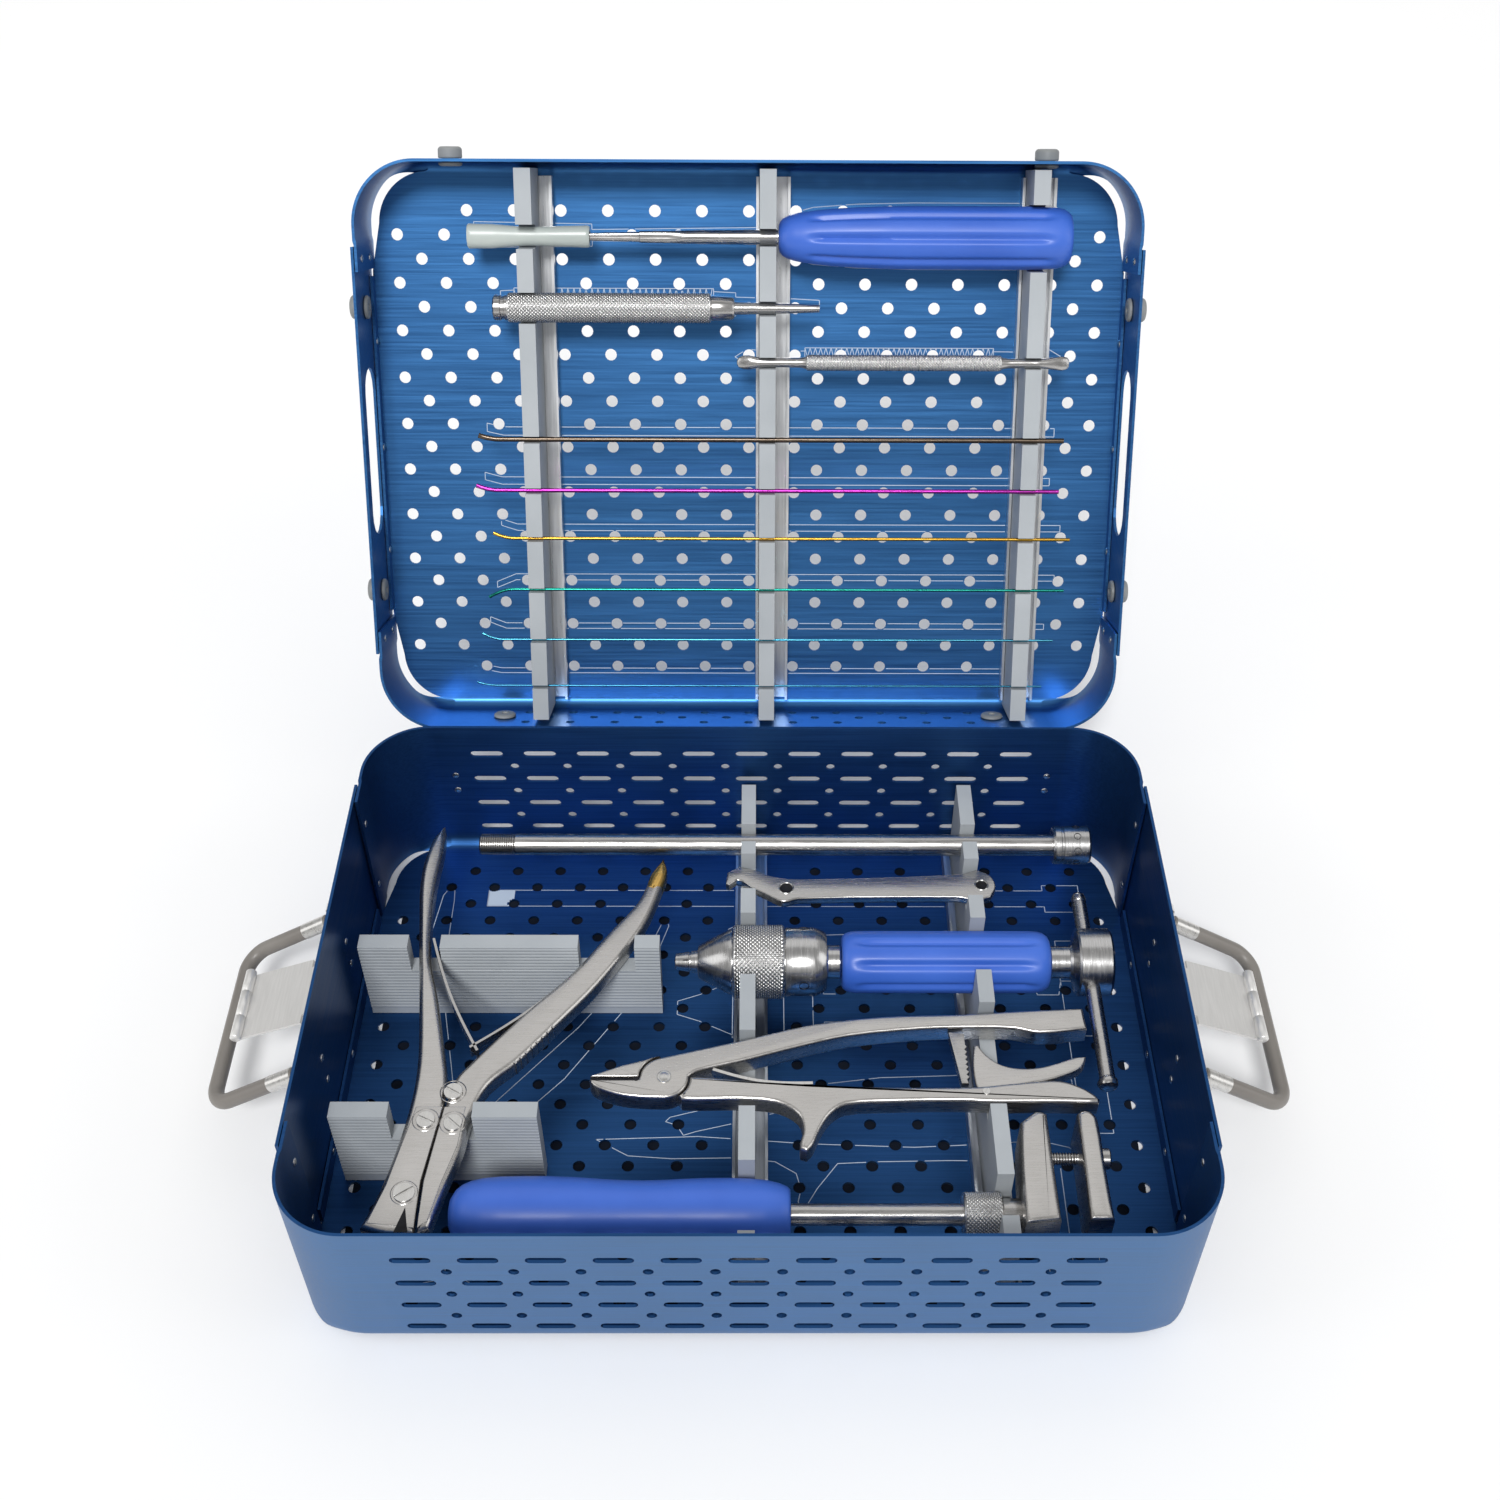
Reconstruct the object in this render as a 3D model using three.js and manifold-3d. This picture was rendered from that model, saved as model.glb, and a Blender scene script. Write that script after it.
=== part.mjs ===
// Perforated aluminium instrument tray: a U-bent base pan and a matching lid,
// both with separate riveted end plates, two carrying bails, two over-centre
// latch plates, slotted silicone holders in aluminium channels, and the set of
// bone instruments that the holders are cut for.
//
// Frame: millimetres, +X to the right, +Y to the back (hinge side), +Z up.
// Origin: centre of the underside of the base pan. The lid is modelled closed
// and is then swung open about the hinge axis.
import * as THREE from 'three';
import { mergeVertices } from 'three/addons/utils/BufferGeometryUtils.js';
import Module from 'manifold-3d';

const wasm = await Module();
wasm.setup();

// ---------------------------------------------------------------- dimensions
const T = 1.5;                 // sheet thickness
const HALF_W = 213;            // pan half width over the rounded corners
const HALF_D = 158.5;          // pan half depth
const BASE_H = 96;             // base height to the rim
const LID_H = 45.5;            // lid height
const RIM_GAP = 0.3;           // lid rim above base rim when closed
const R_CORNER = 35;           // plan corner radius
const R_BEND = 10;             // radius of the folds along front and back
const LID_BEND = 8;
const TAB_END = 100;           // the wrapped ends of the pan stop here (|y|)
const PLATE_END = 113;         // end plates run to here (|y|)
const LID_OPEN_DEG = 117.4;    // how far the lid is open in this model
const HINGE_Y = 163.75, HINGE_Z = 70.03;   // lid hinge axis
const LID_SHIFT_X = -2;        // side play of the lid on its hinges
const LID_Z0 = BASE_H + RIM_GAP;           // closed lid rim
const LID_TOP = LID_Z0 + LID_H;            // closed lid outer face
const PANEL_Z = LID_TOP - T;               // closed lid inner face
const GAP = 0.3;               // clearance between touching pieces
const COMB_TOP = 58;           // top of the base holders
const COMB_W = 8;              // width of the base holders
const LID_COMB_Z = PANEL_Z - 38;           // free edge of the lid holders
const BAIL_X = 221, BAIL_Z = 60, BAIL_R = 4, BAIL_Y = 48.5;
const LATCH_X = 219.6, LATCH_Z = 64, LATCH_LEN = 41.5;
const ROD_Z = 48, INSERTER_Y = 34.8, INSERTER_Z = 42;
const PLIERS_Z = 50, CUTTER_Z = 45, CLAMP_Y = -115, CLAMP_Z = 40;

// ------------------------------------------------------------------ materials
const mat = (color, roughness, metalness) => () => new THREE.MeshStandardMaterial({ color, roughness, metalness });
const M = {
  blue: mat(0x1f4f9a, 0.35, 0.85), steel: mat(0xb9bbbe, 0.28, 1.0), brushed: mat(0xa9abad, 0.42, 1.0),
  alu: mat(0xc9ccd0, 0.4, 0.9), silicone: mat(0xb4bcc4, 0.6, 0.0), taupe: mat(0x8f877f, 0.6, 0.0),
  grip: mat(0x3f5fd0, 0.5, 0.0), rubber: mat(0x8c8c88, 0.5, 0.0), sleeve: mat(0xb9c4c0, 0.45, 0.0),
  gunmetal: mat(0x4a423e, 0.35, 0.9), magenta: mat(0xb030a8, 0.3, 0.9), gold: mat(0xb98a2a, 0.3, 0.9),
  green: mat(0x1f8f78, 0.3, 0.9), teal: mat(0x3a8ea8, 0.3, 0.9), dteal: mat(0x2a6f88, 0.3, 0.9),
};

// ------------------------------------------------------------------- helpers
function solid(geometry) {
  const g = geometry.clone();
  for (const k of Object.keys(g.attributes)) if (k !== 'position') g.deleteAttribute(k);
  g.morphAttributes = {};
  const m = mergeVertices(g, 1e-4);
  return new wasm.Manifold(new wasm.Mesh({
    numProp: 3,
    vertProperties: new Float32Array(m.attributes.position.array),
    triVerts: new Uint32Array(m.index.array),
  }));
}
function geo(manifold) {
  const mesh = manifold.getMesh();
  const g = new THREE.BufferGeometry();
  g.setAttribute('position', new THREE.BufferAttribute(new Float32Array(mesh.vertProperties), 3));
  g.setIndex(new THREE.BufferAttribute(new Uint32Array(mesh.triVerts), 1));
  g.computeVertexNormals();
  return g;
}
const moved = (g, x = 0, y = 0, z = 0) => g.clone().translate(x, y, z);
function box(x0, x1, y0, y1, z0, z1) {
  return new THREE.BoxGeometry(x1 - x0, y1 - y0, z1 - z0).translate((x0 + x1) / 2, (y0 + y1) / 2, (z0 + z1) / 2);
}
function shapeOf(pts, holes = []) {
  const s = new THREE.Shape(pts.map(p => new THREE.Vector2(p[0], p[1])));
  for (const h of holes) s.holes.push(new THREE.Path(h.map(p => new THREE.Vector2(p[0], p[1]))));
  return s;
}
// prism in the XY plane between z0 and z1
function prismZ(pts, z0, z1, holes = []) {
  return new THREE.ExtrudeGeometry(shapeOf(pts, holes), { depth: z1 - z0, bevelEnabled: false, curveSegments: 6 }).translate(0, 0, z0);
}
// prism of a (y, z) outline between x0 and x1
function prismX(pts, x0, x1, holes = []) {
  const g = new THREE.ExtrudeGeometry(shapeOf(pts, holes), { depth: x1 - x0, bevelEnabled: false });
  // local (x, y, z) -> world (z + x0, x, y)
  return g.applyMatrix4(new THREE.Matrix4().set(0, 0, 1, x0, 1, 0, 0, 0, 0, 1, 0, 0, 0, 0, 0, 1));
}
// prism of an (x, z) outline between y0 and y1
function prismY(pts, y0, y1, holes = []) {
  const g = new THREE.ExtrudeGeometry(shapeOf(pts, holes), { depth: y1 - y0, bevelEnabled: false });
  // local (x, y, z) -> world (x, -z + y1, y)
  return g.applyMatrix4(new THREE.Matrix4().set(1, 0, 0, 0, 0, 0, -1, y1, 0, 1, 0, 0, 0, 0, 0, 1));
}
// turned piece along +X: profile [[x, r], ...] starting and ending on the axis
function turnX(profile, y = 0, z = 0, seg = 20) {
  const g = new THREE.LatheGeometry(profile.map(p => new THREE.Vector2(Math.max(p[1], 0), p[0])), seg);
  // lathe axis is local Y -> world X
  return g.applyMatrix4(new THREE.Matrix4().set(0, 1, 0, 0, 1, 0, 0, y, 0, 0, -1, z, 0, 0, 0, 1));
}
function turnY(profile, x = 0, z = 0, seg = 16) {
  const g = new THREE.LatheGeometry(profile.map(p => new THREE.Vector2(Math.max(p[1], 0), p[0])), seg);
  return g.translate(x, 0, z);
}
function turnZ(profile, x = 0, y = 0, seg = 16) {
  const g = new THREE.LatheGeometry(profile.map(p => new THREE.Vector2(Math.max(p[1], 0), p[0])), seg);
  return g.rotateX(Math.PI / 2).translate(x, y, 0);
}
function arc(cx, cy, r, a0, a1, n) {
  const out = [];
  for (let i = 0; i <= n; i++) {
    const a = (a0 + (a1 - a0) * i / n) * Math.PI / 180;
    out.push([cx + r * Math.cos(a), cy + r * Math.sin(a)]);
  }
  return out;
}
function circle(cx, cy, r, n = 12) { return arc(cx, cy, r, 0, 360, n).slice(0, n); }
// tube through exactly the given points, one section at each
class PointPath extends THREE.Curve {
  constructor(points) { super(); this.points = points.map(p => new THREE.Vector3(...p)); }
  getPoint(t) {
    const n = this.points.length - 1, k = Math.min(n - 1, Math.floor(t * n + 1e-9));
    return this.points[k].clone().lerp(this.points[k + 1], t * n - k);
  }
  getPointAt(u) { return this.getPoint(u); }
  getSpacedPoints(n) { return Array.from({ length: n + 1 }, (_, i) => this.getPoint(i / n)); }
  getTangentAt(u) {
    const n = this.points.length - 1, i = Math.round(u * n);
    return this.points[Math.min(n, i + 1)].clone().sub(this.points[Math.max(0, i - 1)]).normalize();
  }
}
function pointTube(points, r, sides = 8) {
  const s = new THREE.Shape(circle(0, 0, r, sides).map(p => new THREE.Vector2(...p)));
  return new THREE.ExtrudeGeometry(s, { steps: points.length - 1, bevelEnabled: false, extrudePath: new PointPath(points) });
}
function union(...gs) { return gs.map(solid).reduce((a, b) => a.add(b)); }
function cut(m, ...gs) { return gs.map(solid).reduce((a, b) => a.subtract(b), m); }

const root = new THREE.Group();
const lid = new THREE.Group();
// children of the inner group use closed-lid coordinates
const lidIn = new THREE.Group();
lid.position.set(LID_SHIFT_X, HINGE_Y, HINGE_Z);
lid.rotation.x = -LID_OPEN_DEG * Math.PI / 180;
lidIn.position.set(0, -HINGE_Y, -HINGE_Z);
lid.add(lidIn);
root.add(lid);
function node(name, geometry, material, parent = root) {
  const g = geometry.isBufferGeometry ? geometry : geo(geometry);
  const mesh = new THREE.Mesh(g, material());
  mesh.name = name;
  parent.add(mesh);
  return mesh;
}

// ------------------------------------------------------------- folded U pans
// floor at z = 0, rim at z = h; the ends wrap round the corners and carry tabs
function pan(h, rb, grommetHoles, flange) {
  const D = HALF_D, xf = HALF_W - R_CORNER;
  const prof = [[-D, h], ...arc(-D + rb, rb, rb, 180, 270, 5), ...arc(D - rb, rb, rb, 270, 360, 5), [D, h], [D - T, h],
    ...arc(D - rb, rb, rb - T, 360, 270, 5), ...arc(-D + rb, rb, rb - T, 270, 180, 5), [-D + T, h]];
  let m = solid(prismX(prof, -xf, xf));
  for (const sx of [-1, 1]) for (const sy of [-1, 1]) {
    const cy = D - R_CORNER;
    let strip = [[xf - 2, D], ...arc(xf, cy, R_CORNER, 90, 0, 8), [HALF_W, PLATE_END + 3], [HALF_W - 0.6, PLATE_END + 0.6],
      [HALF_W - 0.6, TAB_END], [HALF_W - 0.6 - T, TAB_END], [HALF_W - 0.6 - T, PLATE_END + 2], [HALF_W - T, PLATE_END + 5],
      ...arc(xf, cy, R_CORNER - T, 0, 90, 8), [xf - 2, D - T]];
    strip = strip.map(p => [p[0] * sx, p[1] * sy]);
    m = m.add(solid(prismZ(sx * sy > 0 ? strip : strip.reverse(), T, h)));
    // floor beyond the folded section, with its rounded corner held off the wall
    let fl = [[xf - 2, 0], [xf - 2, D - rb], ...arc(xf, cy, R_CORNER - T - 4.5, 90, 0, 6), [HALF_W - 0.4, TAB_END - 2 - 2.1], [HALF_W - 0.4, 0]];
    fl = fl.map((p, i) => p).map(p => [p[0] * sx, p[1] * sy]);
    m = m.add(solid(prismZ(sx * sy > 0 ? fl.slice().reverse() : fl, 0, T)));
  }
  for (const sx of [-1, 1]) {
    // upturned flange along each end, riveted to the end plate
    const x0 = HALF_W - 0.4 - T, x1 = HALF_W - 0.4;
    m = m.add(solid(sx > 0 ? box(x0, x1, -TAB_END + 4.1, TAB_END - 4.1, 0, flange) : box(-x1, -x0, -TAB_END + 4.1, TAB_END - 4.1, 0, flange)));
  }
  for (const [x, sy] of grommetHoles) m = cut(m, turnY([[-6, 0], [-6, 4.8], [6, 4.8], [6, 0]], x, h / 2, 12).translate(0, sy * HALF_D, 0));
  return m;
}
const GROMMET_X = { front: 162, back: 145 };
const GROMMET_Y = 80;

// base shell
node('base_pan', pan(BASE_H, R_BEND, [], 12), M.blue);
for (const [s, n] of [[-1, 'left'], [1, 'right']]) {
  const x0 = HALF_W - 0.1, x1 = x0 + T;
  node('base_side_' + n, s > 0 ? box(x0, x1, -PLATE_END, PLATE_END, 0, BASE_H) : box(-x1, -x0, -PLATE_END, PLATE_END, 0, BASE_H), M.blue);
}

// lid shell, closed coordinates
{
  const holes = [[-GROMMET_X.back, -1], [GROMMET_X.back, -1], [-GROMMET_X.front, 1], [GROMMET_X.front, 1]];
  const g = geo(pan(LID_H, LID_BEND, holes, 8));
  g.rotateX(Math.PI).translate(0, 0, LID_TOP);   // front-back reversed: y -> -y
  node('lid_pan', g, M.blue, lidIn);
  // end plates with the long cut-out that the latch hooks into
  const c0 = LID_Z0 + 9, c1 = LID_Z0 + 36, r = (c1 - c0) / 2, zc = (c0 + c1) / 2, half = 47;
  const slot = [...arc(half - r, zc, r, -90, 90, 8), ...arc(-half + r, zc, r, 90, 270, 8)];
  const outline = [[-PLATE_END, LID_Z0], [PLATE_END, LID_Z0], [PLATE_END, LID_TOP], [-PLATE_END, LID_TOP]];
  const gz = LID_Z0 + LID_H / 2;
  const holes2 = [slot, circle(-GROMMET_Y, gz, 4.8, 12), circle(GROMMET_Y, gz, 4.8, 12)].map(h => h.slice().reverse());
  const x0 = HALF_W - 0.1, x1 = x0 + T;
  node('lid_side_left', prismX(outline, -x1, -x0, holes2), M.blue, lidIn);
  node('lid_side_right', prismX(outline, x0, x1, holes2), M.blue, lidIn);
  // rubber bumpers through the lid walls
  const body = [[-6.4, 0], [-6.4, 5.6], [-5.4, 6.5], [-0.3, 6.5], [-0.3, 4.5], [T + 0.3, 4.5], [T + 0.3, 6.5], [T + 2.0, 6.2], [T + 2.3, 5.0], [T + 2.3, 0]];
  const bumper = (name, x, y, dir) => {
    // profile axis from outside (-) to inside (+)
    let g = new THREE.LatheGeometry(body.map(p => new THREE.Vector2(p[1], p[0])), 8);
    if (dir === 'front') g.translate(0, 0, 0);
    if (dir === 'back') g.rotateZ(Math.PI);
    if (dir === 'left') g.rotateZ(-Math.PI / 2);
    if (dir === 'right') g.rotateZ(Math.PI / 2);
    node(name, g.translate(x, y, gz), M.rubber, lidIn);
  };
  bumper('bumper_front_left', -GROMMET_X.front, -HALF_D, 'front');
  bumper('bumper_front_right', GROMMET_X.front, -HALF_D, 'front');
  bumper('bumper_back_left', -GROMMET_X.back, HALF_D, 'back');
  bumper('bumper_back_right', GROMMET_X.back, HALF_D, 'back');
  bumper('bumper_left_front', -x1, -GROMMET_Y, 'left');
  bumper('bumper_left_back', -x1, GROMMET_Y, 'left');
  bumper('bumper_right_front', x1, -GROMMET_Y, 'right');
  bumper('bumper_right_back', x1, GROMMET_Y, 'right');
}

// --------------------------------------------------------------------- hinges
for (const [s, n] of [[-1, 'left'], [1, 'right']]) {
  const xc = 169.5 * s, y0 = HALF_D + GAP, y1 = y0 + 1.2, R = 3.4;
  const cyl = (xa, xb, r) => turnX([[xa, 0], [xa, r], [xb, r], [xb, 0]], HINGE_Y, HINGE_Z, 16).translate(xc, 0, 0);
  node('hinge_leaf_' + n, union(box(xc - 8, xc + 8, y0, y1, 40, 65.4), box(xc - 2.6, xc + 2.6, y0, y1, 65, HINGE_Z),
    box(xc - 2.6, xc + 2.6, y0, HINGE_Y, HINGE_Z - R, HINGE_Z - R + 1.2), cyl(-2.6, 2.6, R), cyl(-8.6, 8.6, 1.5)), M.brushed);
  let strap = union(box(xc - 8, xc + 8, y0, y1, HINGE_Z + 2, LID_Z0 + 30),
    box(xc - 8, xc - 2.9, y0, HINGE_Y, HINGE_Z + R - 1.2, HINGE_Z + R), box(xc + 2.9, xc + 8, y0, HINGE_Y, HINGE_Z + R - 1.2, HINGE_Z + R),
    cyl(-8, -2.9, R), cyl(2.9, 8, R));
  strap = cut(strap, cyl(-9, 9, 1.8), box(xc - 2.9, xc + 2.9, y0 - 1, y1 + 3, HINGE_Z - 5, HINGE_Z + 4.2));
  const g = geo(strap);
  node('lid_strap_' + n, g.translate(-LID_SHIFT_X, 0, 0), M.brushed, lidIn);
}

// --------------------------------------------- handle plates, bails, latches
function mirrorX(g) {
  // a turn of half a revolution about Z; every mirrored piece here is symmetric front to back
  return g.clone().rotateZ(Math.PI);
}
{
  const X0 = HALF_W - 0.1 + T;            // outer face of the end plate
  const px0 = X0 + GAP, px1 = px0 + 1.5;
  const lugBail = y => prismY([[px0 + 0.5, BAIL_Z - 7], [BAIL_X + 2, BAIL_Z - 4.6], [BAIL_X + 4.6, BAIL_Z - 1.5], [BAIL_X + 4.6, BAIL_Z + 1.5], [BAIL_X + 2, BAIL_Z + 4.6], [px0 + 0.5, BAIL_Z + 7]],
    y, y + 5, [circle(BAIL_X, BAIL_Z, 2.9, 12).reverse()]);
  const lugLatch = y => prismY([[px0 + 0.5, LATCH_Z - 5], [LATCH_X + 1.5, LATCH_Z - 3.6], [LATCH_X + 3.4, LATCH_Z], [LATCH_X + 1.5, LATCH_Z + 3.6], [px0 + 0.5, LATCH_Z + 5]],
    y, y + 3.5, [circle(LATCH_X, LATCH_Z, 1.9, 10).reverse()]);
  const plate = prismX([[-62, 34], [62, 34], [62, 68], [54, 74], [-54, 74], [-62, 68]], px0, px1);
  let hp = union(plate, lugBail(53.4), lugBail(-58.4), lugLatch(15.5), lugLatch(-19));
  hp = cut(hp, turnY([[-70, 0], [-70, 2.9], [70, 2.9], [70, 0]], BAIL_X, BAIL_Z, 12).translate(0, 0, 0));
  hp = cut(hp, turnY([[-21, 0], [-21, 1.9], [21, 1.9], [21, 0]], LATCH_X, LATCH_Z, 10));
  // the bore cutters also pass in front of the plate between the lugs, so the plate is added back
  hp = hp.add(solid(plate));
  const gp = geo(hp);
  node('handle_plate_right', gp, M.brushed);
  node('handle_plate_left', mirrorX(gp), M.brushed);

  // bail: coated rod with bare pivot ends; it rests 31 degrees below level
  const a = Math.atan2(30, 49.5), L = Math.hypot(30, 49.5), c = Math.cos(a), s = Math.sin(a);
  const at = (r, y) => [BAIL_X + r * c, y, BAIL_Z - r * s];
  const path = [];
  const bend = 9;
  path.push(at(0, BAIL_Y - 0.01), at(14, BAIL_Y), at(L - bend, BAIL_Y));
  for (let i = 1; i < 5; i++) { const t = i / 5 * Math.PI / 2; path.push(at(L - bend + bend * Math.sin(t), BAIL_Y - bend + bend * Math.cos(t))); }
  path.push(at(L, BAIL_Y - bend));
  const full = [...path, ...path.slice().reverse().map(p => [p[0], -p[1], p[2]])];
  const bailTube = pointTube(full, BAIL_R, 10);
  const pins = [1, -1].map(k => { const y0 = k > 0 ? 46 : -58.2, y1 = k > 0 ? 58.2 : -46; return turnY([[y0, 0], [y0, 2.5], [y1, 2.5], [y1, 0]], BAIL_X, BAIL_Z, 10); });
  const eyes = [1, -1].map(k => { const y0 = k > 0 ? BAIL_Y - 4 : -BAIL_Y - 4, y1 = y0 + 8; return turnY([[y0, 0], [y0, 4.3], [y1, 4.3], [y1, 0]], BAIL_X, BAIL_Z, 12); });
  const gb = geo(union(bailTube, ...pins, ...eyes));
  node('bail_right', gb, M.taupe);
  node('bail_left', mirrorX(gb), M.taupe);

  // latch: plate with a rolled barrel at the pivot and an upturned hook at the free edge
  const la = 22 * Math.PI / 180;
  const lt = 1.5;
  let lp = union(prismY([[0, -lt / 2], [LATCH_LEN, -lt / 2], [LATCH_LEN + 2.6, 0.6], [LATCH_LEN + 3.4, 2.4], [LATCH_LEN + 2.6, 4.4], [LATCH_LEN + 0.6, 5.2], [LATCH_LEN - 0.2, 4.0], [LATCH_LEN + 1.2, 2.4], [LATCH_LEN + 0.4, 1.2], [LATCH_LEN - 1, lt / 2], [0, lt / 2]], -20, 20),
    turnY([[-15, 0], [-15, 2.6], [15, 2.6], [15, 0]], 0, 0, 12), turnY([[-18.8, 0], [-18.8, 1.5], [18.8, 1.5], [18.8, 0]], 0, 0, 10));
  lp = cut(lp, box(-4, 6.5, 15.2, 21, -4, -0.01 - 1.5), box(-4, 6.5, -21, -15.2, -4, -1.51));
  // relieve the plate beside the lugs
  lp = solid(geo(lp));
  lp = cut(lp, prismY([[-3, 1.55], [6.5, 1.55], [6.5, 4], [-3, 4]], 15.2, 21), prismY([[-3, 1.55], [6.5, 1.55], [6.5, 4], [-3, 4]], -21, -15.2));
  // open corners so the lugs pass
  const corner = y => box(-0.1 + 0, 6.5, y, y + 6, -1.4, 1.4);
  lp = cut(lp, corner(15.1), corner(-21.1));
  lp = lp.add(solid(turnY([[-18.8, 0], [-18.8, 1.5], [18.8, 1.5], [18.8, 0]], 0, 0, 10)));
  const gl = geo(lp);
  gl.rotateY(la);                 // free end drops below level
  gl.translate(LATCH_X, 0, LATCH_Z);
  node('latch_right', gl, M.steel);
  node('latch_left', mirrorX(gl), M.steel);
}

// ----------------------------------------------------- holders and channels
// outline of a holder: list of notches [centre, half width, bottom height]
function combOutline(a0, a1, bottom, top, notches, up) {
  const pts = [[a0, bottom], [a0, top]];
  for (const [c, hw, hb, round] of notches.slice().sort((p, q) => p[0] - q[0])) {
    pts.push([c - hw, top]);
    if (round) {
      const zc = up ? hb + hw : hb - hw;
      const n = hw > 8 ? 12 : 6;
      for (let i = 0; i <= n; i++) {
        const t = Math.PI * i / n;
        pts.push([c - hw * Math.cos(t), zc - (up ? 1 : -1) * hw * Math.sin(t)]);
      }
    } else pts.push([c - hw, hb], [c + hw, hb]);
    pts.push([c + hw, top]);
  }
  pts.push([a1, top], [a1, bottom]);
  return pts;
}
function ccw(pts) {
  let s = 0;
  for (let i = 0; i < pts.length; i++) { const p = pts[i], q = pts[(i + 1) % pts.length]; s += p[0] * q[1] - q[0] * p[1]; }
  return s > 0 ? pts : pts.slice().reverse();
}
const channelX = (xc, w, y0, y1, z0, h, dir) => prismY(ccw([[-w / 2, 0], [w / 2, 0], [w / 2, dir * h], [w / 2 - 1.5, dir * h], [w / 2 - 1.5, dir * 1.5], [-w / 2 + 1.5, dir * 1.5], [-w / 2 + 1.5, dir * h], [-w / 2, dir * h]].map(p => [p[0] + xc, p[1] + z0])), y0, y1);

// base: [centre, half width, bottom, round]
const rodR = 6, inR = 16.9;
const BASE_COMBS = {
  mid: { x0: -5.5, x1: 2.5, rail: 0, y0: -140, y1: 150, notches: [
    [113, rodR + 0.4, ROD_Z - rodR - 0.4, true], [85, 12.5, 45.0, false], [INSERTER_Y, 20.6, INSERTER_Z - 19.8, true],
    [-43.5, 22.5, PLIERS_Z - 6.4, false], [CLAMP_Y, 18.6, CLAMP_Z - 17.9, true]] },
  right: { x0: 117, x1: 125, rail: 121, y0: -140, y1: 150, notches: [
    [113, rodR + 0.4, ROD_Z - rodR - 0.4, true], [81, 13, 45.0, false], [INSERTER_Y, 17.4, INSERTER_Z - 17.4, true],
    [-34.2, 30.6, PLIERS_Z - 6.4, false], [CLAMP_Y, 10.9, CLAMP_Z - 10.9, true]] },
};
for (const [n, c] of Object.entries(BASE_COMBS)) {
  node('base_rail_' + n, channelX(c.rail, 18, c.y0, c.y1, T + GAP, 10, 1), M.alu);
  node('base_comb_' + n, prismX(ccw(combOutline(c.y0, c.y1, T + GAP + 1.8, COMB_TOP, c.notches, true)), c.x0, c.x1), M.silicone);
}
node('base_comb_left_back', prismY(ccw(combOutline(-206, -48, T + GAP, COMB_TOP, [[-171.5, 8.5, CUTTER_Z - 6.4, false], [-76, 14.8, CUTTER_Z - 6.4, false]], true)), 31, 40), M.silicone);
node('base_comb_left_front', prismY(ccw(combOutline(-204, -103, T + GAP, COMB_TOP, [[-155, 20.5, CUTTER_Z - 6.4, false]], true)), -73, -64), M.silicone);

// lid holders (closed coordinates; they hang from the panel)
const AWL_Y = -118.4, AWL_Z = PANEL_Z - 26, THIN_Z = PANEL_Z - 33, NAIL_Z = PANEL_Z - 34;
const NAILS = [
  // name, diameter, tip [x, y], end of bend [x, y], right end x, material
  ['nail_30', 3.0, [-151.4, -11.2], [-142, -9.1], 177.1, M.gunmetal],
  ['nail_25', 2.5, [-153.8, 17.0], [-144, 19.6], 175.8, M.magenta],
  ['nail_20', 2.0, [-145.4, 44.1], [-136, 47.1], 183.5, M.gold],
  ['nail_18', 1.8, [-149.3, 81.5], [-138, 76.8], 181.6, M.green],
  ['nail_15', 1.5, [-154.3, 102.8], [-145, 106.5], 176.8, M.teal],
  ['nail_12', 1.2, [-158.5, 132.2], [-149, 134.2], 171.7, M.dteal],
];
const nailNotches = NAILS.map(n => [n[3][1], n[1] / 2 + 0.4, NAIL_Z + n[1] / 2 + 0.4, true]);
const LID_COMBS = {
  left: { x0: -126, x1: -117, rail: -118.4, notches: [[AWL_Y, 6.4, AWL_Z + 6.4, true], [-80.8, 8.3, THIN_Z + 8.3, true]] },
  mid: { x0: 6, x1: 15, rail: 13.6, notches: [[AWL_Y, 4.7, AWL_Z + 4.7, true], [-80.9, 4.0, THIN_Z + 4.0, true], [-51.6, 3.2, THIN_Z + 3.2, true]] },
  right: { x0: 153.5, x1: 162.5, rail: 161.1, notches: [[AWL_Y, 17.6, AWL_Z + 17.6, true], [-51.8, 3.2, THIN_Z + 3.2, true]] },
};
for (const [n, c] of Object.entries(LID_COMBS)) {
  node('lid_rail_' + n, channelX(c.rail, 19, -150, 150, PANEL_Z - GAP, 8, -1), M.alu, lidIn);
  const notches = [...c.notches, ...nailNotches];
  node('lid_comb_' + n, prismX(ccw(combOutline(-154, 154, PANEL_Z - GAP - 1.8, LID_COMB_Z, notches, false)), c.x0, c.x1), M.silicone, lidIn);
}

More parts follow.
